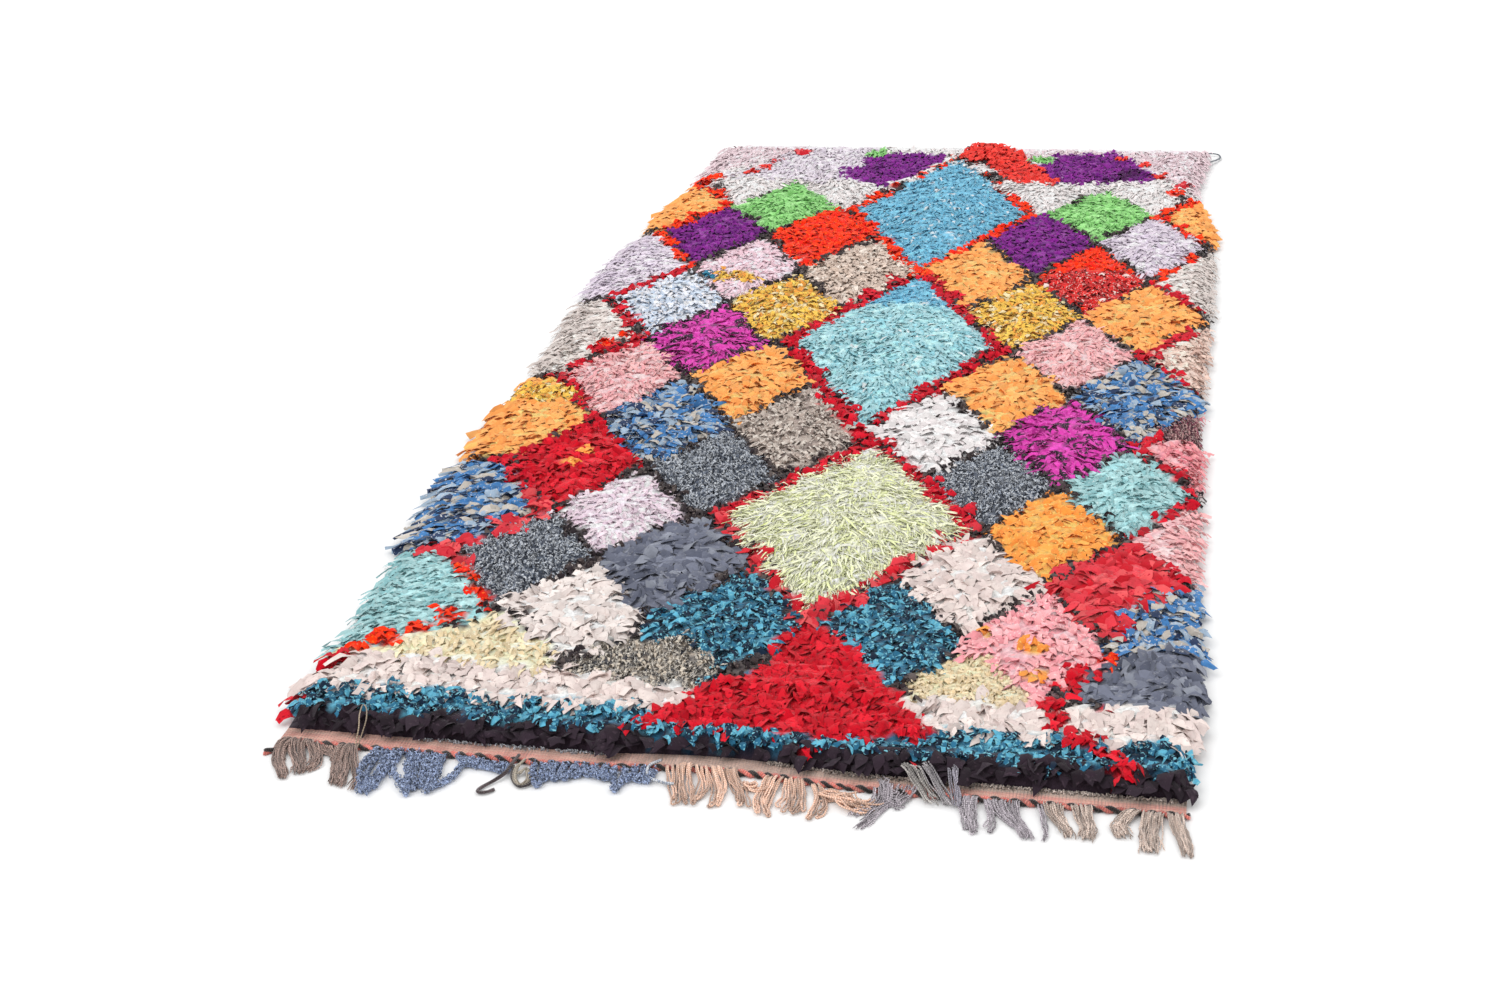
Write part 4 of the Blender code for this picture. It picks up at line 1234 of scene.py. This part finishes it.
LILAC_BUNDLES = (
    (0.212, 0.014, 0.193, -1.394, 0.014, 18, 0.010, False, 0.012),
    (0.206, 0.016, 0.182, -1.370, 0.018, 10, 0.008, False, 0.004),
    (0.234, 0.036, 0.224, -1.340, 0.036, 20, 0.0, False, 0.012),
    (0.313, 0.018, 0.322, -1.383, 0.014, 9, -0.003, True, 0.003),
    (0.315, 0.016, 0.322, -1.380, 0.014, 14, -0.002, False, 0.002),
    (0.335, 0.006, 0.341, -1.376, 0.006, 4, 0.003, True, 0.0),
    (0.356, 0.034, 0.390, -1.386, 0.014, 36, -0.004, False, 0.002),
    (0.398, 0.006, 0.409, -1.388, 0.006, 6, 0.002, False, 0.0),
)
BEIGE_BUNDLES = (
    (0.414, 0.020, 0.438, -1.377, 0.012, 24, -0.002, False, 0.003),
    (0.446, 0.022, 0.459, -1.380, 0.018, 34, 0.002, False, 0.004),
    (0.508, 0.016, 0.496, -1.368, 0.026, 30, -0.010, False, 0.003),
    (0.530, 0.022, 0.530, -1.393, 0.024, 36, -0.003, False, 0.003),
    (0.556, 0.018, 0.573, -1.394, 0.014, 32, 0.000, False, 0.003),
)
# The thick nubby strands of blue yarn, as points x, y along each
BLUE_STRANDS = (
    ((-0.436, -1.318), (-0.441, -1.339), (-0.442, -1.360), (-0.434, -1.386), (-0.424, -1.409)),
    ((-0.426, -1.318), (-0.432, -1.345), (-0.430, -1.370), (-0.424, -1.392), (-0.416, -1.408)),
    ((-0.421, -1.317), (-0.420, -1.341), (-0.417, -1.363), (-0.418, -1.388), (-0.417, -1.408)),
    ((-0.412, -1.317), (-0.411, -1.341), (-0.409, -1.360), (-0.411, -1.380), (-0.411, -1.398)),
    ((-0.404, -1.317), (-0.403, -1.352), (-0.389, -1.375), (-0.374, -1.391), (-0.365, -1.407)),
    ((-0.395, -1.317), (-0.385, -1.349), (-0.376, -1.377), (-0.366, -1.402)),
    ((-0.388, -1.317), (-0.384, -1.335), (-0.378, -1.356), (-0.371, -1.383)),
    ((-0.380, -1.317), (-0.374, -1.347), (-0.368, -1.371), (-0.361, -1.394)),
    ((-0.372, -1.316), (-0.364, -1.346), (-0.358, -1.370), (-0.355, -1.388)),
    ((-0.362, -1.316), (-0.356, -1.344), (-0.350, -1.368), (-0.343, -1.398)),
    ((-0.354, -1.316), (-0.350, -1.335), (-0.346, -1.352), (-0.344, -1.374)),
    ((-0.348, -1.316), (-0.345, -1.343), (-0.341, -1.367), (-0.339, -1.390)),
    ((-0.342, -1.388), (-0.328, -1.375), (-0.320, -1.357), (-0.317, -1.333), (-0.310, -1.320)),
    ((-0.330, -1.317), (-0.318, -1.326), (-0.300, -1.325), (-0.280, -1.328), (-0.262, -1.327)),
    ((-0.314, -1.331), (-0.298, -1.333), (-0.280, -1.336), (-0.262, -1.340), (-0.256, -1.328)),
    ((-0.228, -1.317), (-0.224, -1.340), (-0.212, -1.364), (-0.210, -1.340), (-0.208, -1.318)),
    ((-0.216, -1.318), (-0.214, -1.338), (-0.206, -1.350), (-0.203, -1.332), (-0.200, -1.317)),
    ((-0.202, -1.317), (-0.200, -1.340), (-0.193, -1.347), (-0.190, -1.330), (-0.188, -1.316)),
    ((-0.190, -1.316), (-0.187, -1.337), (-0.181, -1.344), (-0.177, -1.328), (-0.174, -1.315)),
    ((-0.176, -1.316), (-0.171, -1.336), (-0.166, -1.330), (-0.163, -1.315)),
    ((-0.164, -1.314), (-0.158, -1.331), (-0.152, -1.329), (-0.150, -1.314)),
    ((-0.152, -1.314), (-0.146, -1.331), (-0.140, -1.331), (-0.137, -1.313)),
    ((-0.139, -1.313), (-0.134, -1.334), (-0.128, -1.334), (-0.125, -1.313)),
    ((-0.127, -1.313), (-0.120, -1.338), (-0.114, -1.360), (-0.110, -1.340), (-0.112, -1.313)),
    ((-0.114, -1.313), (-0.109, -1.333), (-0.102, -1.331), (-0.099, -1.312)),
    ((-0.101, -1.312), (-0.096, -1.332), (-0.089, -1.331), (-0.087, -1.311)),
    ((-0.090, -1.312), (-0.084, -1.333), (-0.078, -1.331), (-0.076, -1.311)),
)
BLUE_COIL = 0.0024  # how far each yarn lies from its strand's middle
BLUE_COIL_PITCH = 0.0085
BLUE_YARN = 0.0015
BLUE_CURLS = 2700
FRINGE_ROOT = 0.0096  # how far before the weave's end the warp yarns start


def make_fringe():
    """The five runs of loose warp ends along the near end."""
    rng = np.random.default_rng(57)
    runs = (
        ("fringe_brown", BROWN_BUNDLES, 0.0009, (192, 162, 150), (92, 68, 66)),
        ("fringe_tan", TAN_BUNDLES, 0.0012, (252, 204, 176), (255, 222, 206)),
        ("fringe_lilac", LILAC_BUNDLES, 0.0009, (214, 204, 211), (120, 108, 122)),
        ("fringe_beige", BEIGE_BUNDLES, 0.0009, (242, 220, 206), (178, 150, 136)),
    )
    for node, bundles, radius, colour, fleck in runs:
        groups = []
        for root_x, root_spread, tip_x, tip_y, tip_spread, yarns, bow, looped, over in bundles:
            root = (root_x, float(bent(root_x, NEAR_END)) - FRINGE_ROOT + over)
            paths = bundle(rng, root, root_spread, (tip_x, tip_y), tip_spread, yarns, bow, looped, over)
            stations = paths.shape[1]
            taper = np.ones(stations) * radius
            if not looped:
                taper[-1] *= 0.5
            groups.append((paths, taper[None], 6, 1.0))
        if node == "fringe_tan":
            groups.append((tangle(rng, (0.140, -1.328), (0.196, -1.348), 0.020, 30), radius, 6, 1.0))
            groups.append((tangle(rng, (0.036, -1.325), (0.070, -1.330), 0.012, 7), radius, 6, 1.0))
        if node == "fringe_lilac":
            groups.append((tangle(rng, (0.204, -1.290), (0.222, -1.338), 0.018, 22), radius, 6, 1.0))
        yarn_piece(node + "_yarns", groups, yarn_material(node + "_yarn", colour, fleck), (node,))
    make_blue_strands(rng)


def tangle(rng, start, end, spread, yarns, stations=28):
    """Loose yarns that lie along the edge in curls, one over another."""
    t = np.linspace(0.0, 1.0, stations)[None, :]
    first = np.array(start) + rng.normal(0.0, 0.25, (yarns, 2)) * spread
    last = np.array(end) + rng.normal(0.0, 0.40, (yarns, 2)) * spread
    line = first[:, None] + (last - first)[:, None] * t[..., None]
    curl = rng.uniform(0.003, 0.009, (yarns, 1)) * np.sin(math.pi * np.clip(1.3 * t, 0.0, 1.0) * 0.5)
    angle = TURN * (rng.uniform(1.2, 2.6, (yarns, 1)) * t + rng.uniform(0.0, 1.0, (yarns, 1)))
    layer = rng.uniform(0.0, 1.0, (yarns, 1))
    z = 0.0014 + 0.0085 * layer * np.sin(math.pi * np.clip(0.15 + 0.8 * t, 0.0, 1.0))
    return np.stack(
        [line[..., 0] + curl * np.cos(angle), line[..., 1] + curl * np.sin(angle), z], axis=-1
    )


def curls(rng, spots, smallest, largest):
    """Tiny curls of yarn that stand out at each spot."""
    count = len(spots)
    t = np.linspace(0.0, 1.0, 5)[None, :]
    turn = rng.uniform(0.0, TURN, (count, 1)) + TURN * 0.75 * t
    size = rng.uniform(smallest, largest, (count, 1))
    tilt = rng.uniform(0.0, TURN, (count, 1))
    curl = size * np.cos(turn)
    return np.stack([
        spots[:, :1] + curl * np.cos(tilt),
        spots[:, 1:2] + curl * np.sin(tilt),
        spots[:, 2:] + size * np.sin(turn),
    ], axis=-1)


def make_blue_strands(rng):
    """Thick strands of three yarns coiled round each other, covered in little curls."""
    groups = []
    cores = []
    for points in BLUE_STRANDS:
        stations = 8 * len(points)
        core = curve_through([(x, y, 0.0042) for x, y in points], stations)
        run = np.concatenate([[0.0], np.linalg.norm(np.diff(core, axis=0), axis=1).cumsum()])
        tangent = np.gradient(core, axis=0)
        tangent /= np.linalg.norm(tangent, axis=1, keepdims=True)
        aside = np.stack([-tangent[:, 1], tangent[:, 0]], axis=1)
        cores.append(core)
        for yarn in range(3):
            angle = TURN * (run / BLUE_COIL_PITCH + yarn / 3.0) + rng.uniform(0.0, 0.8)
            path = core.copy()
            path[:, :2] += BLUE_COIL * np.cos(angle)[:, None] * aside
            path[:, 2] += 0.8 * BLUE_COIL * np.sin(angle)
            radius = BLUE_YARN * (1.0 + 0.22 * np.sin(run * 2600.0 + rng.uniform(0.0, 6.0)))
            groups.append((path[None], radius[None], 6, 1.0))
    cores = np.concatenate(cores)
    spots = cores[rng.integers(0, len(cores), BLUE_CURLS)]
    around = rng.uniform(0.15, math.pi - 0.15, BLUE_CURLS)
    out = (BLUE_COIL + 0.0014) * rng.choice((-1.0, 1.0), BLUE_CURLS)
    spots = spots + np.stack([
        out * np.cos(around), rng.normal(0.0, 0.0026, BLUE_CURLS), np.abs(out) * np.sin(around),
    ], axis=-1)
    groups.append((curls(rng, spots, 0.0012, 0.0028), 0.0008, 3, 1.0))
    material = yarn_material("fringe_blue_yarn", (194, 212, 248), (130, 148, 196), 0.0040, 0.4, 0.45)
    yarn_piece("fringe_blue_yarns", groups, material, ("fringe_blue",))


def curve_through(points, stations):
    """A smooth path through a few points."""
    points = np.asarray(points, float)
    knots = np.arange(len(points), dtype=float)
    at = np.linspace(0.0, len(points) - 1.0, stations)
    padded = np.concatenate([2 * points[:1] - points[1:2], points, 2 * points[-1:] - points[-2:-1]])
    step = np.minimum(at.astype(int), len(points) - 2)
    u = (at - knots[step])[:, None]
    a, b, c, d = (padded[step + shift] for shift in range(4))
    square = 2 * a - 5 * b + 4 * c - d
    cube = 3 * b - a - 3 * c + d
    return 0.5 * (2 * b + (c - a) * u + square * u * u + cube * u ** 3)


# Little loops along the band's upper edge: name, colour, fleck, how many, first and last x
BAND_LOOPS = (
    ("beige_band_loops", (255, 238, 226), (232, 208, 196), 620, 0.06, 0.57),
    ("pale_band_loops", (250, 251, 255), (206, 214, 236), 150, -0.40, -0.14),
)
# Loose ends that lie on the rug or beside it: name, colour, fleck, radius, strands, their spread, points
LOOSE_ENDS = (
    ("dark_tie", (104, 90, 92), (72, 62, 64), 0.0018, 3, 0.0022, (
        (-0.252, -1.308, 0.010), (-0.255, -1.330, 0.009), (-0.258, -1.346, 0.007), (-0.268, -1.360, 0.004),
        (-0.281, -1.376, 0.003), (-0.281, -1.385, 0.003), (-0.272, -1.385, 0.003), (-0.264, -1.377, 0.003),
    )),
    ("tie_ring", (64, 56, 60), (110, 100, 96), 0.0014, 2, 0.0016, (
        (-0.252, -1.330, 0.008), (-0.249, -1.348, 0.005), (-0.242, -1.360, 0.003), (-0.231, -1.368, 0.003),
        (-0.220, -1.358, 0.004), (-0.218, -1.344, 0.006),
    )),
    ("tie_cream", (214, 202, 184), (170, 152, 132), 0.0013, 4, 0.0034, (
        (-0.240, -1.316, 0.009), (-0.245, -1.334, 0.007), (-0.242, -1.352, 0.004), (-0.232, -1.363, 0.003),
        (-0.225, -1.350, 0.004), (-0.233, -1.332, 0.007), (-0.238, -1.344, 0.006),
    )),
    ("white_ribbon", (226, 228, 232), (120, 140, 180), 0.0018, 2, 0.0022, (
        (-0.072, -1.296, 0.010), (-0.084, -1.312, 0.010), (-0.080, -1.328, 0.006), (-0.062, -1.336, 0.006),
        (-0.046, -1.338, 0.005),
    )),
    ("thread_loop", (206, 184, 158), (176, 150, 126), 0.0009, 1, 0.0, (
        (-0.463, -1.322, 0.006), (-0.458, -1.306, 0.024), (-0.458, -1.292, 0.033), (-0.466, -1.270, 0.035),
        (-0.474, -1.262, 0.034), (-0.470, -1.284, 0.034), (-0.464, -1.304, 0.027), (-0.466, -1.320, 0.006),
    )),
    ("turned_back_left", (206, 200, 194), (140, 134, 136), 0.0010, 16, 0.0100, (
        (0.268, -1.326, 0.006), (0.260, -1.314, 0.009), (0.251, -1.303, 0.016), (0.241, -1.294, 0.026),
        (0.236, -1.290, 0.028),
    )),
    ("turned_back_middle", (200, 194, 196), (130, 124, 134), 0.0010, 14, 0.0090, (
        (0.292, -1.328, 0.006), (0.283, -1.316, 0.009), (0.273, -1.304, 0.017), (0.263, -1.293, 0.027),
        (0.258, -1.288, 0.029),
    )),
    ("turned_back_right", (186, 180, 192), (120, 116, 132), 0.0010, 12, 0.0064, (
        (0.304, -1.330, 0.006), (0.301, -1.314, 0.009), (0.297, -1.302, 0.018), (0.294, -1.292, 0.027),
        (0.293, -1.287, 0.029),
    )),
    ("corner_loop", (96, 104, 116), (150, 156, 164), 0.0014, 2, 0.0016, (
        (0.540, 1.306, 0.006), (0.560, 1.318, 0.006), (0.578, 1.316, 0.005), (0.584, 1.296, 0.004),
        (0.576, 1.270, 0.006), (0.560, 1.240, 0.010),
    )),
    ("far_blue_yarn", (122, 142, 180), (90, 110, 150), 0.0020, 2, 0.0024, (
        (-0.350, 1.278, 0.007), (-0.290, 1.284, 0.006), (-0.230, 1.281, 0.008), (-0.160, 1.288, 0.007),
        (-0.100, 1.285, 0.007),
    )),
    ("far_brown_yarn", (146, 122, 100), (110, 90, 76), 0.0020, 2, 0.0024, (
        (-0.092, 1.286, 0.007), (-0.060, 1.290, 0.007), (-0.020, 1.288, 0.008), (0.020, 1.293, 0.007),
    )),
)


def make_loose_ends():
    """Ties, a thread loop, warp ends folded back over the pile and a loop at the far corner."""
    rng = np.random.default_rng(83)
    for name, colour, fleck, count, start, end in BAND_LOOPS:
        x = rng.uniform(start, end, count)
        y = bent(x, NEAR_END + NEAR_BAND - 0.001 - 0.007 * rng.beta(1.0, 2.0, count))
        spots = np.stack([x, y, WEAVE_THICK + 0.0014 + 0.0 * x], axis=-1)
        paths = curls(rng, spots, 0.0012, 0.0026)
        paths[..., 2] = np.maximum(paths[..., 2], WEAVE_THICK)
        yarn_piece(name, [(paths, 0.0008, 3, 1.0)], yarn_material(name, colour, fleck))
    for name, colour, fleck, radius, strands, spread, points in LOOSE_ENDS:
        paths = []
        for _ in range(strands):
            shift = rng.normal(0.0, 0.5 * spread, 3) * (1.0, 1.0, 0.35)
            moved = np.array(points) + shift
            moved += rng.normal(0.0, 0.10 * spread + 0.0002, moved.shape)
            moved[:, 2] = np.maximum(moved[:, 2], radius + 0.0004)
            paths.append(curve_through(moved, 6 * len(points)))
        material = yarn_material(name, colour, fleck)
        yarn_piece(name, [(np.array(paths), radius, 6, 1.0)], material)


def make_camera():
    """The photo's view of the rug."""
    data = bpy.data.cameras.new("photo_view")
    data.lens = LENS
    data.sensor_width = SENSOR_WIDTH
    data.clip_start = 0.05
    data.clip_end = 100.0
    camera = bpy.data.objects.new("photo_view", data)
    camera.matrix_world = Matrix.Translation(CAMERA_PLACE) @ CAMERA_TURN.to_4x4()
    bpy.context.scene.collection.objects.link(camera)
    bpy.context.scene.camera = camera


def make_stage():
    """A pale floor, a bright even sky and soft lamps."""
    scene = bpy.context.scene
    scene.view_settings.view_transform = "Standard"
    half = 30.0
    corners = [(-half, -half, 0.0), (half, -half, 0.0), (half, half, 0.0), (-half, half, 0.0)]
    data = bpy.data.meshes.new("floor")
    data.from_pydata(corners, [], [(0, 1, 2, 3)])
    floor = bpy.data.objects.new("floor", data)
    scene.collection.objects.link(floor)
    shade = Shade("pale_floor", sheen=0.0, roughness=0.8)
    shade.shader.inputs["Base Color"].default_value = (0.86, 0.86, 0.86, 1.0)
    floor.data.materials.append(shade.material)
    world = bpy.data.worlds.new("studio")
    world.use_nodes = True
    world.node_tree.nodes["Background"].inputs["Color"].default_value = (1.0, 1.0, 1.0, 1.0)
    world.node_tree.nodes["Background"].inputs["Strength"].default_value = scene.rug_stage.sky
    scene.world = world
    # each lamp: name, place, softness in degrees, share of the key's strength
    for name, place, softness, share in (
        ("soft_key", (-1.6, -1.5, 3.2), 50.0, 1.0),
        ("soft_fill", (2.6, 0.8, 3.0), 80.0, 0.35),
    ):
        lamp = bpy.data.lights.new(name, "SUN")
        lamp.energy = scene.rug_stage.key * share
        lamp.angle = math.radians(softness)
        thing = bpy.data.objects.new(name, lamp)
        thing.location = place
        thing.rotation_euler = Vector(place).to_track_quat("Z", "Y").to_euler()
        scene.collection.objects.link(thing)


class RugPile(bpy.types.PropertyGroup):
    """How dense and deep the pile is."""

    spacing: bpy.props.FloatProperty(
        name="Knot Spacing", description="Distance between knots against the usual one",
        default=1.0, min=0.7, max=2.0, subtype="FACTOR",
    )
    depth: bpy.props.FloatProperty(
        name="Pile Depth", description="Height of the pile against the usual one",
        default=1.0, min=0.6, max=1.2, subtype="FACTOR",
    )


class RugStage(bpy.types.PropertyGroup):
    """How bright the studio is."""

    sky: bpy.props.FloatProperty(
        name="Sky", description="Strength of the even white light", default=0.95, min=0.0, max=3.0,
        subtype="FACTOR",
    )
    key: bpy.props.FloatProperty(
        name="Key Lamp", description="Strength of the brighter soft lamp", default=1.05, min=0.0, max=10.0,
        subtype="FACTOR",
    )


def colour_property(name):
    """The property for a cloth's main colour."""
    plain = name.replace("_", " ")
    return bpy.props.FloatVectorProperty(
        name=plain.title(), description=f"Main colour of the {plain} cloth", subtype="COLOR",
        size=3, min=0.0, max=1.0, default=tuple(linear(CLOTHS[name][1][0][1])),
    )


class RugColours(bpy.types.PropertyGroup):
    """The main colour of each cloth."""

    __annotations__ = {name: colour_property(name) for name in CLOTH_NAMES}


class RUG_OT_camera(bpy.types.Operator):
    """Place the camera at the rug's near end"""

    bl_idname = "rug.camera"
    bl_label = "Camera"

    def execute(self, context):
        make_camera()
        return {"FINISHED"}


class RUG_OT_weave(bpy.types.Operator):
    """Weave the flat ground"""

    bl_idname = "rug.weave"
    bl_label = "Woven Ground"

    def execute(self, context):
        make_weave()
        return {"FINISHED"}


class RUG_OT_base(bpy.types.Operator):
    """Pack the knots below the rags' tips"""

    bl_idname = "rug.base"
    bl_label = "Packed Knots"

    def execute(self, context):
        make_base()
        return {"FINISHED"}


class RUG_OT_rags(bpy.types.Operator):
    """Knot the rags of the pile, one mesh for each kind of cut"""

    bl_idname = "rug.rags"
    bl_label = "Rag Pile"

    def execute(self, context):
        for number, kind in enumerate(CUTS):
            make_rags(kind, FIRST_SEED + SEED_STEP * number, ("rag_pile",) if kind == "jersey" else ())
        return {"FINISHED"}


class RUG_OT_cord(bpy.types.Operator):
    """Twine the cord along the near end"""

    bl_idname = "rug.cord"
    bl_label = "Twined Cord"

    def execute(self, context):
        make_cord()
        return {"FINISHED"}


class RUG_OT_fringe(bpy.types.Operator):
    """Lay out the loose warp ends"""

    bl_idname = "rug.fringe"
    bl_label = "Warp Fringe"

    def execute(self, context):
        make_fringe()
        return {"FINISHED"}


class RUG_OT_loose_ends(bpy.types.Operator):
    """Lay the ties and loose yarns"""

    bl_idname = "rug.loose_ends"
    bl_label = "Loose Ends"

    def execute(self, context):
        make_loose_ends()
        return {"FINISHED"}


class RUG_OT_stage(bpy.types.Operator):
    """Set the floor and the soft light"""

    bl_idname = "rug.stage"
    bl_label = "Stage"

    def execute(self, context):
        make_stage()
        return {"FINISHED"}


class RUG_PT_panel(bpy.types.Panel):
    """Lists the rug's settings and pieces"""

    bl_idname = "RUG_PT_panel"
    bl_label = "Boucherouite Rug"
    bl_space_type = "VIEW_3D"
    bl_region_type = "UI"
    bl_category = "Rug"

    def draw(self, context):
        layout = self.layout
        for operator in OPERATORS:
            layout.operator(operator.bl_idname)
        for group in (context.scene.rug_pile, context.scene.rug_stage, context.scene.rug_colours):
            box = layout.box()
            for name in group.bl_rna.properties.keys():
                if name not in ("rna_type", "name"):
                    box.prop(group, name)


OPERATORS = (
    RUG_OT_camera, RUG_OT_weave, RUG_OT_base, RUG_OT_rags, RUG_OT_cord, RUG_OT_fringe,
    RUG_OT_loose_ends, RUG_OT_stage,
)
GROUPS = (("rug_pile", RugPile), ("rug_stage", RugStage), ("rug_colours", RugColours))


def register():
    for _, group in GROUPS:
        bpy.utils.register_class(group)
    for operator in OPERATORS + (RUG_PT_panel,):
        bpy.utils.register_class(operator)
    for name, group in GROUPS:
        setattr(bpy.types.Scene, name, bpy.props.PointerProperty(type=group))


def unregister():
    for name, _ in GROUPS:
        delattr(bpy.types.Scene, name)
    for operator in (RUG_PT_panel,) + OPERATORS[::-1]:
        bpy.utils.unregister_class(operator)
    for _, group in GROUPS[::-1]:
        bpy.utils.unregister_class(group)


def main():
    register()
    for operator in OPERATORS:
        group, name = operator.bl_idname.split(".")
        getattr(getattr(bpy.ops, group), name)()


if __name__ == "__main__":
    main()
